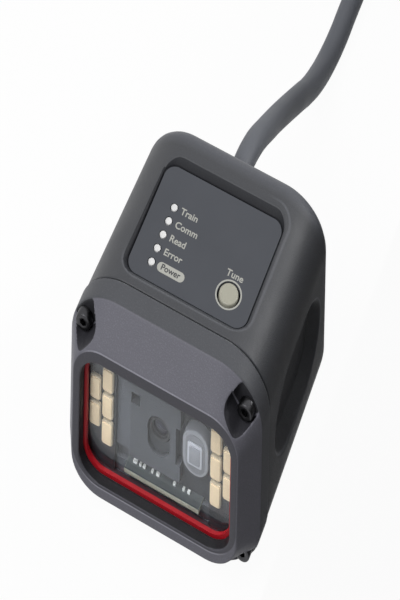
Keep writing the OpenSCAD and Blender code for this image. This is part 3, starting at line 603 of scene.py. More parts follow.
class READER_OT_stage(Operator):
    """Floor, lamps, room light and the camera at the photograph's viewing angle"""

    bl_idname = "reader.stage"
    bl_label = "Stage"

    # Height of the point the camera turns about, and the picture's shift from it, in metres
    aim_height = 24 * MM
    shift_right = 0.394 * MM
    shift_up = 6.729 * MM
    # The lamps' places and sizes, and the height of the point they shine at, in metres
    lamps = {
        "key": ((-0.25, -0.5, 0.86), 0.5),
        "rear": ((0.15, 0.6, 0.8), 0.5),
        "side": ((0.51, 0.44, 0.4), 0.05),
    }
    lit_height = 20 * MM
    # Width and depth of the floor
    floor_side = 5
    # The dark card: its place beside the reader, its upright part and its foot, in metres
    card_x = 0.105
    card_y = 0.05
    card_tall = 0.104
    card_long = 0.5
    foot_wide = 0.079
    foot_lift = 0.5 * MM

    def execute(self, context):
        stage = context.scene.reader_stage
        context.scene.view_settings.view_transform = "Standard"
        self.camera(context, stage)
        self.room(context, stage)
        self.floor(stage)
        self.card()
        for name, (place, size) in self.lamps.items():
            self.lamp(name + "_lamp", Vector(place), size, getattr(stage, name))
        return {"FINISHED"}

    def camera(self, context, stage):
        """The photograph is drawn out in its height, so the camera's upright axis leans back."""
        a, e, r, s = stage.azimuth, stage.elevation, stage.roll, stage.stretch
        back = Vector((math.sin(a) * math.cos(e), -math.cos(a) * math.cos(e), math.sin(e)))
        level = Vector((0, 0, 1)).cross(back).normalized()
        upright = back.cross(level)
        right = level * math.cos(r) + upright * math.sin(r)
        up = upright * math.cos(r) - level * math.sin(r)
        leaning = up * math.cos(s) + back * math.sin(s)
        place = Vector((0, 0, self.aim_height)) + back * stage.distance
        place += right * self.shift_right + up * self.shift_up
        lean = Matrix((right, leaning, back)).transposed().to_4x4()
        lean.translation = place
        data = bpy.data.cameras.new("camera")
        data.sensor_width = 36
        data.lens = stage.lens
        camera = placed("camera", data)
        holder = placed("camera_holder", None)
        camera.parent = holder
        camera.matrix_parent_inverse = lean
        context.scene.camera = camera

    def seen_directly(self, tree):
        """One where the camera, a mirror or glass looks, and zero for the light itself."""
        path = node_at(tree, "ShaderNodeLightPath")
        seen = worked(tree, "MAXIMUM", path.outputs["Is Camera Ray"], path.outputs["Is Glossy Ray"])
        return worked(tree, "MAXIMUM", seen, path.outputs["Is Transmission Ray"])

    def room(self, context, stage):
        """White all round to look at, and a lower level of light from it."""
        world = bpy.data.worlds.new("studio")
        context.scene.world = world
        world.use_nodes = True
        tree = world.node_tree
        glow = tree.nodes["Background"]
        glow.inputs["Color"].default_value = (1, 1, 1, 1)
        level = node_at(tree, "ShaderNodeMapRange")
        level.inputs["To Min"].default_value = stage.room
        level.inputs["To Max"].default_value = 1
        linked(tree, self.seen_directly(tree), level.inputs["Value"])
        linked(tree, level.outputs["Result"], glow.inputs["Strength"])

    def floor(self, stage):
        """A floor that looks nearly plain white and takes soft shadows."""
        mesh = mesh_of(sheet(self.floor_side, self.floor_side), "floor")
        floor = placed("floor", mesh)
        material = bpy.data.materials.new("floor")
        material.use_nodes = True
        tree = material.node_tree
        lit = tree.nodes["Principled BSDF"]
        lit.inputs["Roughness"].default_value = 0.9
        glow = node_at(tree, "ShaderNodeEmission")
        blend = node_at(tree, "ShaderNodeMixShader")
        tone = node_at(tree, "ShaderNodeMix", data_type="RGBA")
        tone.inputs["A"].default_value = (0.4, 0.4, 0.4, 1)
        tone.inputs["B"].default_value = (0.9, 0.9, 0.9, 1)
        seen = self.seen_directly(tree)
        linked(tree, seen, tone.inputs["Factor"])
        linked(tree, tone.outputs["Result"], lit.inputs["Base Color"])
        linked(tree, worked(tree, "MULTIPLY", seen, stage.white), blend.inputs["Fac"])
        linked(tree, lit.outputs["BSDF"], blend.inputs[1])
        linked(tree, glow.outputs["Emission"], blend.inputs[2])
        linked(tree, blend.outputs["Shader"], tree.nodes["Material Output"].inputs["Surface"])
        mesh.materials.append(material)

    def card(self):
        """A folded dark card beside the reader shades its right side below the shoulder."""
        upright = standing_at(self.card_x, self.card_y, self.card_tall / 2)
        upright = upright @ Matrix.Rotation(math.radians(90), 4, "Y")
        bm = moved(sheet(self.card_tall, self.card_long), upright)
        foot_x = self.card_x - self.foot_wide / 2
        foot = sheet(self.foot_wide, self.card_long)
        added(bm, moved(foot, standing_at(foot_x, self.card_y, self.foot_lift)))
        mesh = mesh_of(bm, "dark_card")
        card = placed("dark_card", mesh)
        card.visible_camera = False
        material = bpy.data.materials.new("dark_card")
        material.use_nodes = True
        cloth = material.node_tree.nodes["Principled BSDF"]
        cloth.inputs["Base Color"].default_value = (0.32, 0.32, 0.32, 1)
        cloth.inputs["Roughness"].default_value = 0.95
        mesh.materials.append(material)

    def lamp(self, name, place, size, power):
        """A square lamp that shines at the reader."""
        data = bpy.data.lights.new(name, "AREA")
        data.size = size
        data.energy = power
        lamp = placed(name, data)
        lamp.location = place
        lamp.rotation_mode = "QUATERNION"
        way = Vector((0, 0, self.lit_height)) - place
        lamp.rotation_quaternion = way.to_track_quat("-Z", "Y")


class READER_OT_lead(Operator):
    """The lead from the strain relief to its coil, with the strap and the plug"""

    bl_idname = "reader.lead"
    bl_label = "Lead and Plug"

    # From the strain relief down to the surface and round towards the coil, in millimetres
    route = (
        (-3, 29.3, 33), (-3.02, 31.4, 32.95), (-3.1, 33.5, 32.6), (-3.2, 37.5, 31.39),
        (-3.4, 41.3, 29.44), (-3.6, 47, 25.77), (-3.8, 53, 21.84), (-3.8, 59, 17.95), (-3.7, 65, 14.06),
        (-3.6, 70, 10.81), (-3.5, 72.7, 9.05), (-3.4, 79.5, 5.52), (-3.3, 86.9, 3.33),
        (-3.2, 94.5, 2.6), (-3.25, 99, 2.6), (-3.25, 105, 2.6), (-3.2, 112, 2.6),
        (-3.2, 119.76, 2.6), (-3.2, 128.6, 2.6), (-3.2, 137.5, 2.6),
    )
    # Off the top of the coil, sinking to the plug
    tail = (
        (57.6, 128.6, 18.3), (57.6, 119.76, 18.1), (57.6, 115.26, 17.82), (57.6, 109.86, 16.41),
        (57.6, 104.46, 14.29), (57.6, 99.06, 11.61), (57.6, 93.66, 8.79), (57.6, 88.26, 6.4),
        (57.6, 82.86, 4.71), (57.6, 78.36, 4), (57.6, 74.76, 4),
    )

    def execute(self, context):
        lead = context.scene.reader_lead
        finish = context.scene.reader_finish
        jacket = rubber("lead_jacket", finish.lead)
        black = rubber("relief_rubber", (0.045, 0.046, 0.05))
        on_lead = self.plug(black)
        on_lead.append(self.strap())
        self.gland(black)
        self.cord(lead, jacket, on_lead)
        return {"FINISHED"}

    def coil(self, lead):
        """Four layers: the turns wind inwards, climb, wind outwards, climb, and so on again."""
        middle = (COIL_LOW + COIL_HIGH) / 2
        outer = (COIL_HIGH.x - COIL_LOW.x) / 2 - lead.diameter / 2
        inner = 20.95 * MM
        low = COIL_LOW.z + lead.diameter / 2
        high = COIL_HIGH.z - lead.diameter / 2
        layers, climb, steps = 4, 0.35, 24
        wound = (lead.turns - climb * (layers - 1)) / layers
        points = []
        for step in range(1, round(lead.turns * steps) + 1):
            turn = step / steps
            layer = min(layers - 1, int(turn / (wound + climb)))
            part = turn - layer * (wound + climb)
            share = min(1.0, part / wound)
            rise = max(0.0, (part - wound) / climb)
            rise = rise * rise * (3 - 2 * rise)
            if layer % 2:
                share = 1 - share
            radius = outer + (inner - outer) * share
            lift = min(1.0, turn / 0.1)
            height = low - 0.6 * MM * (1 - lift) + (high - low) * (layer + rise) / (layers - 1)
            way = math.pi - math.tau * turn
            points.append(
                (middle.x + radius * math.cos(way), middle.y + radius * math.sin(way), height)
            )
        return points

    def cord(self, lead, jacket, on_lead):
        """The lead as one curve, by its route, its coil and its tail."""
        points = [tuple(c * MM for c in p) for p in self.route]
        points += self.coil(lead)
        points += [tuple(c * MM for c in p) for p in self.tail]
        curve = bpy.data.curves.new("lead", "CURVE")
        curve.dimensions = "3D"
        curve.bevel_depth = lead.diameter / 2
        curve.bevel_resolution = 5
        curve.resolution_u = 4
        curve.use_fill_caps = True
        line = curve.splines.new("BEZIER")
        line.bezier_points.add(len(points) - 1)
        for knot, point in zip(line.bezier_points, points):
            knot.co = point
            knot.handle_left_type = "AUTO"
            knot.handle_right_type = "AUTO"
        curve.materials.append(jacket)
        cord = placed("lead", curve)
        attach(cord, "reader")
        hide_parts("cable_lead", "cable_coil", "cable_tail")

    def gland(self, black):
        """Moulded strain relief with a few rings towards its tip."""
        x = (GLAND_LOW.x + GLAND_HIGH.x) / 2
        z = (GLAND_LOW.z + GLAND_HIGH.z) / 2
        tip = GLAND_HIGH.y - HOUSING_BACK
        bore = 2.52 * MM
        root = -1.2 * MM
        collar = 5.2 * MM
        profile = [(bore, root), (collar, root), (collar, 0.05 * MM)]
        profile += [(4.4 * MM, 0.3 * MM), (4.0 * MM, 0.8 * MM)]
        rings = 4
        run = tip - 1.2 * MM
        step = run / rings
        for ring in range(rings):
            at = 0.8 * MM + run * ring / rings
            wide = 4.0 * MM - 0.9 * MM * ring / rings
            profile += [(wide, at + 0.1 * step), (wide - 0.06 * MM, at + 0.5 * step)]
            profile += [(wide - 0.45 * MM, at + 0.6 * step), (wide - 0.45 * MM, at + 0.9 * step)]
        profile += [(2.95 * MM, tip - 0.25 * MM), (2.75 * MM, tip), (bore, tip), (bore, root)]
        bm = moved(turned(profile, 40), facing_back(x, HOUSING_BACK, z))
        piece(bm, "strain_relief", [black], ["cable_gland"])

    def strap(self):
        """Woven strap round the coil, with its free end laid over."""
        cloth = grained(
            "strap_weave", (0.03, 0.03, 0.034), fleck=2.2, share=0.6, grain=0.5, rough=(0.7, 0.9),
            bump=0.6,
        )
        tall = TIE_HIGH.z - TIE_LOW.z
        deep = TIE_HIGH.y - TIE_LOW.y
        wide = TIE_HIGH.x - TIE_LOW.x
        bm = rounded_sleeve(deep, tall, radius=2.6 * MM, wall=0.6 * MM, long=wide, segments=6)
        softened(bm, 0.12 * MM, 2, 50)
        turn = Matrix(((0, 0, 1), (1, 0, 0), (0, 1, 0))).to_4x4()
        turn.translation = (TIE_LOW.x, (TIE_LOW.y + TIE_HIGH.y) / 2, (TIE_LOW.z + TIE_HIGH.z) / 2)
        moved(bm, turn)
        end = block(wide - 0.8 * MM, 9 * MM, 0.5 * MM, 0.15 * MM)
        moved(end, standing_at((TIE_LOW.x + TIE_HIGH.x) / 2, TIE_LOW.y + 11 * MM, TIE_HIGH.z + 0.2 * MM))
        return piece(added(bm, end), "coil_strap", [cloth], ["coil_tie"])

    def plug(self, black):
        """Overmoulded grip with finger ribs, a boot, and a metal shell with its latch windows."""
        x = (GRIP_LOW.x + GRIP_HIGH.x) / 2
        y = (GRIP_LOW.y + GRIP_HIGH.y) / 2
        z = (GRIP_LOW.z + GRIP_HIGH.z) / 2
        wide, deep, tall = GRIP_HIGH - GRIP_LOW
        bm = bmesh.new()
        bmesh.ops.create_cube(bm, size=1)
        bmesh.ops.scale(bm, vec=(wide, deep, tall), verts=bm.verts)
        back = [v for v in bm.verts if v.co.y > 0]
        bmesh.ops.scale(bm, vec=(0.72, 1, 0.86), verts=back)
        along = [e for e in bm.edges if abs(e.verts[0].co.y - e.verts[1].co.y) > deep / 2]
        bmesh.ops.bevel(
            bm, geom=along, offset=2.5 * MM, offset_type="OFFSET", affect="EDGES", segments=6,
            profile=0.5, material=-1,
        )
        softened(bm, 0.6 * MM, 3, 50)
        moved(bm, standing_at(x, y, z))
        for side in (-1, 1):
            for rib in range(5):
                ridge = block(8.5 * MM, 0.9 * MM, 0.5 * MM, 0.2 * MM)
                at = y - 7 * MM + rib * 2.6 * MM
                lean = tall / 2 - 0.2 * MM - (at - GRIP_LOW.y) / deep * 0.07 * tall
                added(bm, moved(ridge, standing_at(x, at, z + side * lean)))
        bore, root, thick = 2.52 * MM, -1 * MM, 3.6 * MM
        boot = [(bore, root), (thick, root)]
        for ring in range(5):
            at = 0.4 * MM + ring * 2.2 * MM
            reach = thick - ring * 0.16 * MM
            boot += [(reach, at), (reach, at + 1.2 * MM)]
            boot += [(reach - 0.45 * MM, at + 1.4 * MM), (reach - 0.45 * MM, at + 2.0 * MM)]
        boot += [(2.9 * MM, 11.6 * MM), (bore, 11.8 * MM), (bore, root)]
        added(bm, moved(turned(boot, 32), facing_back(x, GRIP_HIGH.y, z)))
        grip = piece(bm, "plug_grip_mould", [black], ["plug_grip"])
        return [grip, self.shell(x, z), "plug_tongue"]

    def shell(self, x, z):
        """Bent metal shell of the plug, with dark latch windows."""
        bright = metal("plug_plate", (0.66, 0.66, 0.67), (0.16, 0.3))
        dark = moulding("plug_window", (0.02, 0.02, 0.022))
        wide, deep, tall = SHELL_HIGH - SHELL_LOW
        bm = rounded_sleeve(wide, tall, radius=0.5 * MM, wall=0.35 * MM, long=deep, segments=4)
        softened(bm, 0.08 * MM, 2, 50)
        moved(bm, facing_front(x, SHELL_HIGH.y, z))
        for side in (-1, 1):
            for across in (-1, 1):
                latch = inked(rounded_plate(2.6 * MM, 2.4 * MM, 0.25 * MM, 0.03 * MM, 3), 1)
                top = z + side * tall / 2 - 0.015 * MM
                added(bm, moved(latch, standing_at(x + across * 2.6 * MM, SHELL_LOW.y + 10 * MM, top)))
        return piece(bm, "plug_shell_plate", [bright, dark], ["plug_shell"])


class READER_OT_castings(Operator):
    """The painted housing and front bezel"""

    bl_idname = "reader.castings"
    bl_label = "Castings"

    # The window rim's outline: its middle, half its width and height, and its corners' radius
    rim_z = 24.3 * MM
    rim_halves = (20.95 * MM, 16.2 * MM)
    rim_corner = 7.5 * MM
    # How far behind the rim the bezel's slopes end and its straight band starts
    slope_end = 6 * MM
    # The upper outline of the label's recess, likewise
    recess_y = 3.65 * MM
    recess_halves = (16.45 * MM, 14.8 * MM)
    recess_corner = 4.6 * MM
    # The scoop in each side: its middle, half its length and half its height, which rounds its ends
    scoop_y = 4.7 * MM
    scoop_z = 23.2 * MM
    scoop_halves = (13.9 * MM, 9.6 * MM)

    def execute(self, context):
        finish = context.scene.reader_finish
        casting = context.scene.reader_casting
        house = self.housing_finish(finish.housing)
        front = self.bezel_finish(finish.bezel)
        shaded = self.recess_finish(finish.housing)
        bm = cast_form("housing", casting.housing_edge)
        self.recess(bm)
        body = piece(bm, "housing_casting", [house, shaded], ["housing"], smooth=50)
        body.modifiers.new("even_shade", "WEIGHTED_NORMAL").keep_sharp = True
        bm = cast_skin("front_bezel", casting.bezel_step, 2)
        piece(bm, "bezel_casting", [front], ["front_bezel"], smooth=60)
        # The gasket's pale grey is painted light: it lifts the shade in the groove of the parting line.
        dressed("bezel_gasket", rubber("gasket_rubber", (0.3, 0.307, 0.32)))
        return {"FINISHED"}

    def bezel_finish(self, tint):
        """Bezel paint with painted shade, darker on band, rim, window walls and notches, and painted
        highlights, paler along the rim's upper and lower edges.
        """
        material = paint("bezel_paint", tint, 0.18)
        tree, shader, tone, at = base_of(material)
        radius = self.rim_corner
        half_wide, half_tall = self.rim_halves
        aside = worked(tree, "ABSOLUTE", at["X"], 0)
        above = away_from(tree, at["Z"], self.rim_z)
        out = corner_reach(tree, ((aside, half_wide), (above, half_tall)), radius)
        deep = worked(tree, "SUBTRACT", at["Y"], CAD_LOW.y)
        coords = node_at(tree, "ShaderNodeTexCoord")
        faces = node_at(tree, "ShaderNodeSeparateXYZ")
        linked(tree, coords.outputs["Normal"], faces.inputs["Vector"])
        # Painted shade: the rim, the window's walls and the notches' floors are drawn darker, and the
        # straight band darker and greyer.
        upright = between(tree, worked(tree, "ABSOLUTE", faces.outputs["Y"], 0), 0.36, 0.26)
        inside = between(tree, out, radius - 0.1 * MM, radius - 0.22 * MM)
        near = between(tree, deep, self.slope_end, self.slope_end - 0.2 * MM)
        rim = times(tree, near, inside)
        level = between(tree, faces.outputs["Y"], -0.8, -0.9)
        seat = times(tree, level, between(tree, deep, 5.3 * MM, 5.5 * MM))
        walls = worked(tree, "MAXIMUM", times(tree, near, upright), seat)
        # Painted highlight: a paler line along the rim's upper and lower edges.
        crest_highlight = outline_line(tree, out, radius, (0.22, 0.1), (0.2, 0.08))
        crest_highlight = times(tree, crest_highlight, near, between(tree, aside, 19 * MM, 15 * MM))
        band = between(tree, deep, self.slope_end, self.slope_end + 0.2 * MM)
        tone = tinted(tree, tone, band, (0.565, 0.587, 0.551))
        tone = tinted(tree, tone, rim, (0.5, 0.5, 0.5))
        tone = tinted(tree, tone, walls, (0.22, 0.22, 0.22))
        tone = tinted(tree, tone, crest_highlight, (2.2, 2.2, 2.15))
        linked(tree, tone, shader.inputs["Base Color"])
        return material

    def housing_finish(self, tint):
        """Housing paint with painted highlights, paler on the recess's front and right edges, the back
        edge and the scoops' lips, and painted shade, darker inside the scoops.
        """
        material = paint("housing_paint", tint, 0.42)
        tree, shader, tone, at = base_of(material)
        radius = self.recess_corner
        half_wide, half_long = self.recess_halves
        aside = worked(tree, "ABSOLUTE", at["X"], 0)
        along = away_from(tree, at["Y"], self.recess_y)
        out = corner_reach(tree, ((aside, half_wide), (along, half_long)), radius)
        # Painted highlight: a paler line along the recess's upper front and right edges.
        front = between(tree, at["Y"], -5 * MM, -9 * MM)
        right = between(tree, at["X"], 9 * MM, 14 * MM)
        line = outline_line(tree, out, radius, (0.25, 0.05), (0.5, 0.2))
        high = between(tree, at["Z"], 43 * MM, 44 * MM)
        recess_edge_highlight = times(tree, line, high, worked(tree, "MAXIMUM", front, right))
        tone = tinted(tree, tone, recess_edge_highlight, (1.7, 1.7, 1.7))
        # Painted highlight: a paler strip along the housing's back edge.
        back = between(tree, at["Y"], 19.2 * MM, 21.6 * MM)
        back = times(tree, back, between(tree, at["Z"], 38 * MM, 42 * MM))
        tone = tinted(tree, tone, back, (1.75, 1.76, 1.8))
        # Painted shade inside each scoop, and a painted highlight along its lip.
        half_long, end = self.scoop_halves
        along = away_from(tree, at["Y"], self.scoop_y)
        above = away_from(tree, at["Z"], self.scoop_z)
        out = corner_reach(tree, ((along, half_long), (above, end)), end)
        side = between(tree, aside, 17 * MM, 18 * MM)
        scoop_shade = times(tree, between(tree, out, end - 0.1 * MM, end - 0.5 * MM), side)
        scoop_lip_highlight = times(tree, outline_line(tree, out, end, (0.3, 0.1), (0.4, 0.15)), side)
        tone = tinted(tree, tone, scoop_shade, (0.75, 0.75, 0.75))
        tone = tinted(tree, tone, scoop_lip_highlight, (2.0, 2.0, 2.0))
        linked(tree, tone, shader.inputs["Base Color"])
        return material

    def recess_finish(self, tint):
        """Housing paint that sinks into shade towards the label."""
        material = paint("recess_paint", tint, 0.1)
        tree, shader, tone, at = base_of(material)
        sunk = between(tree, at["Z"], LABEL_HIGH.z + 1.7 * MM, LABEL_HIGH.z)
        tone = tinted(tree, tone, sunk, (0.3, 0.3, 0.32))
        linked(tree, tone, shader.inputs["Base Color"])
        return material

    def recess(self, bm):
        """Gives the back and left walls of the label's recess their shade."""
        reach = 3.6 * MM
        for face in bm.faces:
            middle = face.calc_center_median()
            inside = LABEL_LOW.x - reach < middle.x < LABEL_HIGH.x + reach
            inside = inside and LABEL_LOW.y - reach < middle.y < LABEL_HIGH.y + reach
            if not inside or middle.z < LABEL_HIGH.z - 1 * MM:
                continue
            back = face.normal.y < -0.2 and middle.y > LABEL_HIGH.y - 4 * MM
            left = face.normal.x > 0.2 and middle.x < LABEL_LOW.x + 4 * MM
            if face.normal.z < 0.92 and (back or left):
                face.material_index = 1


class READER_OT_screws(Operator):
    """Four blackened socket-head screws in the corner notches"""

    bl_idname = "reader.screws"
    bl_label = "Bezel Screws"

    # Radius and height of the heads
    head = 1.9 * MM
    head_tall = 2 * MM

    def execute(self, context):
        black = metal("black_oxide", (0.06, 0.06, 0.064), (0.26, 0.4))
        low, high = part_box("bezel_screws")
        seat = low.y + self.head_tall
        whole = bmesh.new()
        for x in (low.x + self.head, high.x - self.head):
            for z in (low.z + self.head, high.z - self.head):
                added(whole, moved(self.screw(), facing_front(x, seat, z)))
        piece(whole, "bezel_socket_screws", [black], ["bezel_screws"], smooth=40)
        return {"FINISHED"}

    def screw(self):
        """One screw along Z, its head on Z = 0, with a six-sided socket."""
        head, tall, mouth = self.head, self.head_tall, 1.15 * MM
        shank, reach = 1 * MM, -5 * MM
        bm = turned(
            [
                (0, reach), (shank, reach), (shank, 0), (head - 0.1 * MM, 0), (head, 0.1 * MM),
                (head, tall - 0.3 * MM), (head - 0.12 * MM, tall - 0.08 * MM),
                (head - 0.35 * MM, tall), (mouth, tall),
            ],
            36,
        )
        rim = [e for e in bm.edges if e.is_boundary]
        ring = bmesh.ops.create_circle(
            bm, cap_ends=False, segments=6, radius=0.87 * MM,
            matrix=Matrix.Translation((0, 0, tall - 0.1 * MM)),
        )
        six = list({e for v in ring["verts"] for e in v.link_edges})
        bmesh.ops.bridge_loops(bm, edges=rim + six)
        sunk = bmesh.ops.extrude_edge_only(bm, edges=six)
        foot = [e for e in sunk["geom"] if isinstance(e, bmesh.types.BMVert)]
        bmesh.ops.translate(bm, vec=(0, 0, -1.1 * MM), verts=foot)
        floor = bmesh.ops.edgeloop_fill(
            bm, edges=[e for e in sunk["geom"] if isinstance(e, bmesh.types.BMEdge)]
        )
        bmesh.ops.poke(bm, faces=floor["faces"], offset=0)
        bmesh.ops.recalc_face_normals(bm, faces=bm.faces)
        return bm


class READER_OT_label(Operator):
    """The label film in the top recess, with its print and its status lights"""

    bl_idname = "reader.label"
    bl_label = "Label and Lights"

    words = ("Power", "Error", "Read", "Comm", "Train")
    # Distance from one light and its word to the next
    row_pitch = 3.13 * MM
    # Where a word starts from its light, and its share of the word height: on the pill, and elsewhere
    pill_word = (2.45 * MM, 0.9)
    plain_word = (1.75 * MM, 1.01)
    # The pale pill under the first word: its length, width, corners and middle
    pill_size = (6.9 * MM, 2.1 * MM)
    pill_corner = 1.04 * MM
    pill_at = (-5 * MM, -5.55 * MM)
    # Where the word beside the button starts, and the inner radius of the button's ring
    tune_at = (6.75 * MM, 0.3 * MM)
    ring_reach = 2.8 * MM

    def execute(self, context):
        finish = context.scene.reader_finish
        film = grained(
            "label_film", finish.label, fleck=1.12, share=0.3, grain=0.12, rough=(0.4, 0.5), bump=0.06,
            shine=0.03,
        )
        frosted = moulding("frosted_pipe", finish.lights)
        dressed("label_plate", film)
        dressed("light_pipe", frosted)
        self.printing(context.scene.reader_label, finish)
        self.lights(frosted)
        return {"FINISHED"}

    def row_place(self, place):
        """The middle of a status light: x and y."""
        middle = (PIPE_LOW + PIPE_HIGH) / 2
        return middle.x, middle.y + (place - (len(self.words) - 1) / 2) * self.row_pitch

    def printing(self, sizes, finish):
        """The words, the pill under the first of them and the ring round the button."""
        pale = grained("pale_ink", finish.words, fleck=1.1, share=0.3, grain=0.1, bump=0.03)
        dark = grained("dark_ink", (0.05, 0.052, 0.056), share=0.2, grain=0.1, bump=0.03)
        thin = sizes.print_rise
        z = LABEL_HIGH.z
        whole = bmesh.new()
        pill = inked(rounded_plate(*self.pill_size, self.pill_corner, thin, 8), 0)
        added(whole, moved(pill, standing_at(*self.pill_at, z)))
        for place, word in enumerate(self.words):
            x, y = self.row_place(place)
            on_pill = place == 0
            gap, share = self.pill_word if on_pill else self.plain_word
            rise = thin * (2 if on_pill else 1)
            mesh = inked(lettered(word, sizes.word_height * share, rise), 1 if on_pill else 0)
            added(whole, moved(mesh, standing_at(x + gap, y, z + rise / 2)))
        tune = inked(lettered("Tune", sizes.word_height, thin), 0)
        added(whole, moved(tune, standing_at(*self.tune_at, z + thin / 2)))
        button = (BUTTON_LOW + BUTTON_HIGH) / 2
        near, far = self.ring_reach, self.ring_reach + sizes.ring_width
        ring = turned([(near, 0), (far, 0), (far, thin), (near, thin), (near, 0)], 64)
        added(whole, moved(inked(ring, 0), standing_at(button.x, button.y, z)))
        piece(whole, "label_print", [pale, dark])

    def lights(self, frosted):
        """The domed ends of the light pipe."""
        domes = bmesh.new()
        for place in range(len(self.words)):
            cap = turned(
                [
                    (0, -0.2 * MM), (0.76 * MM, -0.2 * MM), (0.76 * MM, 0.03 * MM),
                    (0.68 * MM, 0.12 * MM), (0.45 * MM, 0.18 * MM), (0, 0.2 * MM),
                ],
                28,
            )
            added(domes, moved(cap, standing_at(*self.row_place(place), LABEL_HIGH.z)))
        piece(domes, "status_lights", [frosted])


class READER_OT_button(Operator):
    """The tune button and the plunger of its switch"""

    bl_idname = "reader.button"
    bl_label = "Tune Button"

    def execute(self, context):
        finish = context.scene.reader_finish
        satin = moulding("button_moulding", finish.button)
        middle = (BUTTON_LOW + BUTTON_HIGH) / 2
        flange = (BUTTON_HIGH.x - BUTTON_LOW.x) / 2
        reach = 2.3 * MM
        tall = BUTTON_HIGH.z - BUTTON_LOW.z
        bm = turned(
            [
                (0, 0), (flange - 0.1 * MM, 0), (flange, 0.1 * MM), (flange, 0.6 * MM),
                (flange - 0.1 * MM, 0.7 * MM), (reach, 0.7 * MM), (reach, tall - 0.35 * MM),
                (reach - 0.06 * MM, tall - 0.16 * MM), (reach - 0.2 * MM, tall - 0.04 * MM),
                (reach - 0.42 * MM, tall), (reach * 0.6, tall - 0.03 * MM), (0, tall - 0.06 * MM),
            ],
            64,
        )
        moved(bm, standing_at(middle.x, middle.y, BUTTON_LOW.z))
        piece(bm, "tune_button_cap", [satin], ["tune_button"], body="tune")
        dressed("switch_plunger", moulding("switch_black", (0.03, 0.03, 0.033)))
        return {"FINISHED"}


class READER_OT_window(Operator):
    """The clear window and its red seal"""

    bl_idname = "reader.window"
    bl_label = "Window and Seal"

    def execute(self, context):
        finish = context.scene.reader_finish
        dressed("window_glass", window_finish())
        red = grained(
            "red_elastomer", finish.seal, fleck=1.15, share=0.3, grain=0.2, rough=(0.4, 0.55), bump=0.1
        )
        dressed("window_seal", red)
        return {"FINISHED"}


class READER_OT_lamps(Operator):
    """The two strips of lamps behind the window"""

    bl_idname = "reader.lamps"
    bl_label = "Lamps"

    # Across from the middle and up from it, in millimetres
    places = ((13.8, -6.4), (13.8, 0), (13.8, 6.4), (17, -3.2), (17, 3.2))
    # Width and height of a lamp's frame and of its resin face
    frame_size = (2.8 * MM, 5.5 * MM)
    face_size = (2.4 * MM, 5 * MM)

    def execute(self, context):
        finish = context.scene.reader_finish
        resin = grained(
            "lamp_resin", finish.lamps, fleck=1.18, share=0.4, grain=0.6, rough=(0.35, 0.5), bump=0.1,
            shine=0.3,
        )
        rim = moulding("lamp_frame", (0.6, 0.5, 0.36))
        black = grained(
            "black_resist", (0.03, 0.034, 0.04), share=0.3, grain=0.3, rough=(0.25, 0.4), bump=0.1
        )
        back = LAMPS_HIGH.y
        deep = LAMPS_HIGH.y - LAMPS_LOW.y
        middle = (LAMPS_LOW.z + LAMPS_HIGH.z) / 2
        whole = bmesh.new()
        for side in (-1, 1):
            for across, up in self.places:
                place = facing_front(side * across * MM, back, middle + up * MM)
                body = rounded_plate(*self.frame_size, 0.6 * MM, deep * 0.75, 5)
                inked(softened(body, 0.12 * MM, 2, 50), 1)
                face = rounded_plate(*self.face_size, 0.5 * MM, deep, 5)
                inked(softened(face, 0.15 * MM, 3, 50), 0)
                added(whole, moved(added(body, face), place))
        piece(whole, "lamp_bodies", [resin, rim], ["lamps"])
        dressed("lamp_board_left", black)
        dressed("lamp_board_right", black)
        return {"FINISHED"}


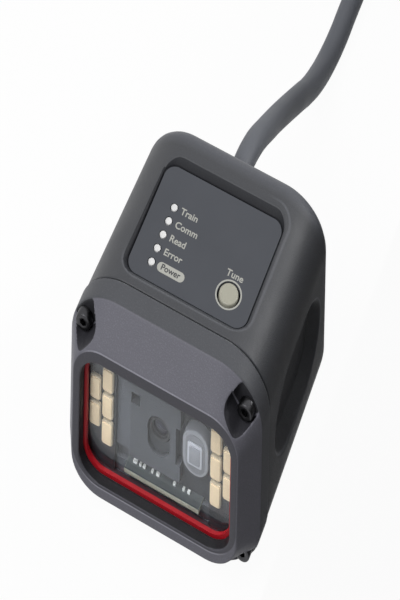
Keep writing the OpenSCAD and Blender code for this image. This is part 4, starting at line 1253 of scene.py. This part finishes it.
class READER_OT_optics(Operator):
    """The camera lens and the aimer in their carrier"""

    bl_idname = "reader.optics"
    bl_label = "Optics"

    # The lens mouth in the carrier's plate: its middle height, and half its width and height
    mouth_z = 22.1 * MM
    mouth_halves = (2.8 * MM, 4.6 * MM)

    def execute(self, context):
        finish = context.scene.reader_finish
        dressed("carrier_frame", self.carrier(finish.carrier))
        self.barrel()
        self.aimer(finish)
        return {"FINISHED"}

    def carrier(self, tint):
        """A moulding whose bracket strip is paler, with painted shade that makes its floor and lens
        mouth darker.
        """
        material = moulding("carrier_moulding", tint, shine=0.3)
        tree, shader, tone, at = base_of(material)
        lens = (BARREL_LOW.x + BARREL_HIGH.x) / 2
        # Painted shade: the floor behind the plate and the lens mouth are drawn darker.
        floor = between(tree, at["Y"], -17.7 * MM, -17.3 * MM)
        half_wide, half_tall = self.mouth_halves
        aside = away_from(tree, at["X"], lens)
        above = away_from(tree, at["Z"], self.mouth_z)
        out = corner_reach(tree, ((aside, half_wide), (above, half_tall)), half_wide)
        mouth = between(tree, out, half_wide + 0.2 * MM, half_wide + 0.1 * MM)
        mouth = times(tree, mouth, between(tree, at["Y"], -18.9 * MM, -18.6 * MM))
        strip = worked(tree, "LESS_THAN", at["X"], lens - 7.2 * MM)
        tone = tinted(tree, tone, strip, (1.35, 1.35, 1.35))
        tone = tinted(tree, tone, worked(tree, "MAXIMUM", floor, mouth), (0.56, 0.56, 0.56))
        linked(tree, tone, shader.inputs["Base Color"])
        return material

    def barrel(self):
        """The camera's barrel and the domed, coated lens in it."""
        black = grained(
            "barrel_black", (0.03, 0.03, 0.033), share=0.3, grain=0.15, rough=(0.3, 0.45), bump=0.1
        )
        coated = grained(
            "coated_lens", (0.012, 0.012, 0.025), share=0.1, grain=1.0, rough=(0.02, 0.06), bump=0.01,
            shine=0.35,
        )
        x = (BARREL_LOW.x + BARREL_HIGH.x) / 2
        z = (BARREL_LOW.z + BARREL_HIGH.z) / 2
        deep = BARREL_HIGH.y - BARREL_LOW.y
        bm = turned(
            [
                (1.3 * MM, -deep), (2.7 * MM, -deep), (2.7 * MM, -0.3 * MM), (2.6 * MM, -0.08 * MM),
                (2.42 * MM, 0), (2.2 * MM, 0), (2.08 * MM, -0.1 * MM), (2.0 * MM, -0.5 * MM),
                (1.9 * MM, -0.55 * MM), (1.9 * MM, -1.6 * MM), (1.3 * MM, -1.62 * MM),
                (1.3 * MM, -deep),
            ],
            48,
        )
        moved(bm, facing_front(x, BARREL_LOW.y, z))
        piece(bm, "camera_barrel", [black], ["lens_barrel"])
        bm = turned(
            [
                (0, -1.6 * MM), (1.88 * MM, -1.6 * MM), (1.88 * MM, -0.9 * MM), (1.6 * MM, -0.72 * MM),
                (1.2 * MM, -0.56 * MM), (0.7 * MM, -0.45 * MM), (0.3 * MM, -0.41 * MM), (0, -0.4 * MM),
            ],
            48,
        )
        moved(bm, facing_front(x, BARREL_LOW.y, z))
        piece(bm, "camera_lens", [coated], ["front_lens"])

    def aimer(self, finish):
        """An oblong clear rod with a stepped face, a bright pad and a flange at its foot."""
        clear = moulding("aimer_clear", finish.aimer, coat_weight=0.6)
        bright = moulding("aimer_pad", [c * 1.9 for c in finish.aimer], coat_weight=0.6)
        deepest = moulding("aimer_well", [c * 0.7 for c in finish.aimer], coat_weight=0.6)
        x = (AIMER_LOW.x + AIMER_HIGH.x) / 2
        z = (AIMER_LOW.z + AIMER_HIGH.z) / 2
        wide, deep, tall = AIMER_HIGH - AIMER_LOW
        step = 1.4 * MM
        rod_wide, rod_tall = wide - step, tall - step
        foot = softened(rounded_plate(wide, tall, wide / 2 - 0.01 * MM, 0.8 * MM, 12), 0.1 * MM, 2, 50)
        bm = inked(foot, 0)
        body = rounded_plate(rod_wide, rod_tall, rod_wide / 2 - 0.01 * MM, deep - 0.55 * MM, 14)
        added(bm, inked(softened(body, 0.35 * MM, 4, 50), 0))
        face = rounded_plate(wide - 2.2 * step, tall - 2.2 * step, 2.3 * MM, deep - 0.45 * MM, 12)
        added(bm, inked(softened(face, 0.12 * MM, 2, 50), 2))
        band = rounded_plate(rod_wide * 0.56, rod_tall * 0.5, 0.5 * MM, deep - 0.2 * MM, 4)
        added(bm, inked(softened(band, 0.1 * MM, 2, 50), 1))
        pad = rounded_plate(rod_wide * 0.4, rod_tall * 0.38, 0.3 * MM, deep, 4)
        added(bm, inked(softened(pad, 0.1 * MM, 2, 50), 0))
        moved(bm, facing_front(x, AIMER_HIGH.y, z))
        piece(bm, "aimer_window", [clear, bright, deepest], ["aimer_lens"])


class READER_OT_boards(Operator):
    """Finishes of the boards, the switch and the other pieces inside"""

    bl_idname = "reader.boards"
    bl_label = "Boards and Inner Pieces"

    def execute(self, context):
        finish = context.scene.reader_finish
        green = grained("green_resist", finish.board, share=0.4, grain=0.8, rough=(0.25, 0.4), bump=0.15)
        black = moulding("inner_black", (0.03, 0.03, 0.034))
        grey = moulding("inner_grey", (0.09, 0.095, 0.105))
        ivory = moulding("inner_ivory", (0.7, 0.67, 0.57))
        steel = metal("zinc_plate", (0.5, 0.5, 0.52))
        ends = grained(
            "tinned_ends", (0.92, 0.92, 0.9), share=0.4, grain=0.3, rough=(0.2, 0.4), bump=0.1
        )
        die = grained(
            "sensor_die", (0.08, 0.06, 0.13), share=0.3, grain=0.1, rough=(0.05, 0.15), bump=0.02
        )
        film = grained(
            "flex_film", (0.45, 0.24, 0.05), share=0.3, grain=0.4, rough=(0.2, 0.35), bump=0.08
        )
        wear = {
            green: ("status_board", "sensor_board", "main_board"),
            black: ("switch_body", "lens_holder", "aimer_tube", "processor"),
            grey: ("flex_sockets",),
            ivory: ("cable_socket", "plug_tongue"),
            steel: ("carrier_screws", "status_board_screws", "sensor_board_screws", "main_board_screws"),
            ends: ("board_components", "status_leds", "aimer_led"),
            die: ("image_sensor",),
            film: ("flex_ribbon",),
        }
        for material, nodes in wear.items():
            for node in nodes:
                dressed(node, material)
        self.shelf()
        return {"FINISHED"}

    def shelf(self):
        """The shelf board: dark resist above and below, bare laminate at its cut edges."""
        dark = grained(
            "dark_resist", (0.075, 0.085, 0.09), share=0.4, grain=0.5, rough=(0.3, 0.45), bump=0.1,
            shine=0.3,
        )
        edge = grained("bare_laminate", (0.36, 0.37, 0.3), fleck=1.3, share=0.6, grain=0.9, bump=0.2)
        low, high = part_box("front_board")
        bm = block(high.x - low.x, high.y - low.y, high.z - low.z, 0.05 * MM, 1)
        for face in bm.faces:
            face.material_index = 0 if abs(face.normal.z) > 0.9 else 1
        moved(bm, standing_at(*((low + high) / 2)))
        piece(bm, "shelf_board", [dark, edge], ["front_board"])


class READER_PT_pieces(Panel):
    """Lists the reader's pieces"""

    bl_idname = "READER_PT_pieces"
    bl_label = "Fixed Barcode Reader"
    bl_space_type = "VIEW_3D"
    bl_region_type = "UI"
    bl_category = "Reader"

    def draw(self, context):
        column = self.layout.column()
        for operator in OPERATORS:
            column.operator(operator.bl_idname)
        for name in GROUPS:
            values = getattr(context.scene, name)
            for key in values.__annotations__:
                column.prop(values, key)


OPERATORS = (
    READER_OT_stage,
    READER_OT_lead,
    READER_OT_castings,
    READER_OT_screws,
    READER_OT_label,
    READER_OT_button,
    READER_OT_window,
    READER_OT_lamps,
    READER_OT_optics,
    READER_OT_boards,
)
GROUPS = {
    "reader_finish": ReaderFinish,
    "reader_label": ReaderLabel,
    "reader_casting": ReaderCasting,
    "reader_lead": ReaderLead,
    "reader_stage": ReaderStage,
}


def register():
    """Adds the settings, the operators and the panel."""
    for name, group in GROUPS.items():
        bpy.utils.register_class(group)
        setattr(bpy.types.Scene, name, PointerProperty(type=group))
    for operator in OPERATORS:
        bpy.utils.register_class(operator)
    bpy.utils.register_class(READER_PT_pieces)


def unregister():
    """Takes them away again."""
    bpy.utils.unregister_class(READER_PT_pieces)
    for operator in reversed(OPERATORS):
        bpy.utils.unregister_class(operator)
    for name, group in GROUPS.items():
        delattr(bpy.types.Scene, name)
        bpy.utils.unregister_class(group)


def main():
    """Builds every piece in order."""
    register()
    bpy.ops.reader.stage()
    bpy.ops.reader.lead()
    bpy.ops.reader.castings()
    bpy.ops.reader.screws()
    bpy.ops.reader.label()
    bpy.ops.reader.button()
    bpy.ops.reader.window()
    bpy.ops.reader.lamps()
    bpy.ops.reader.optics()
    bpy.ops.reader.boards()


if __name__ == "__main__":
    main()
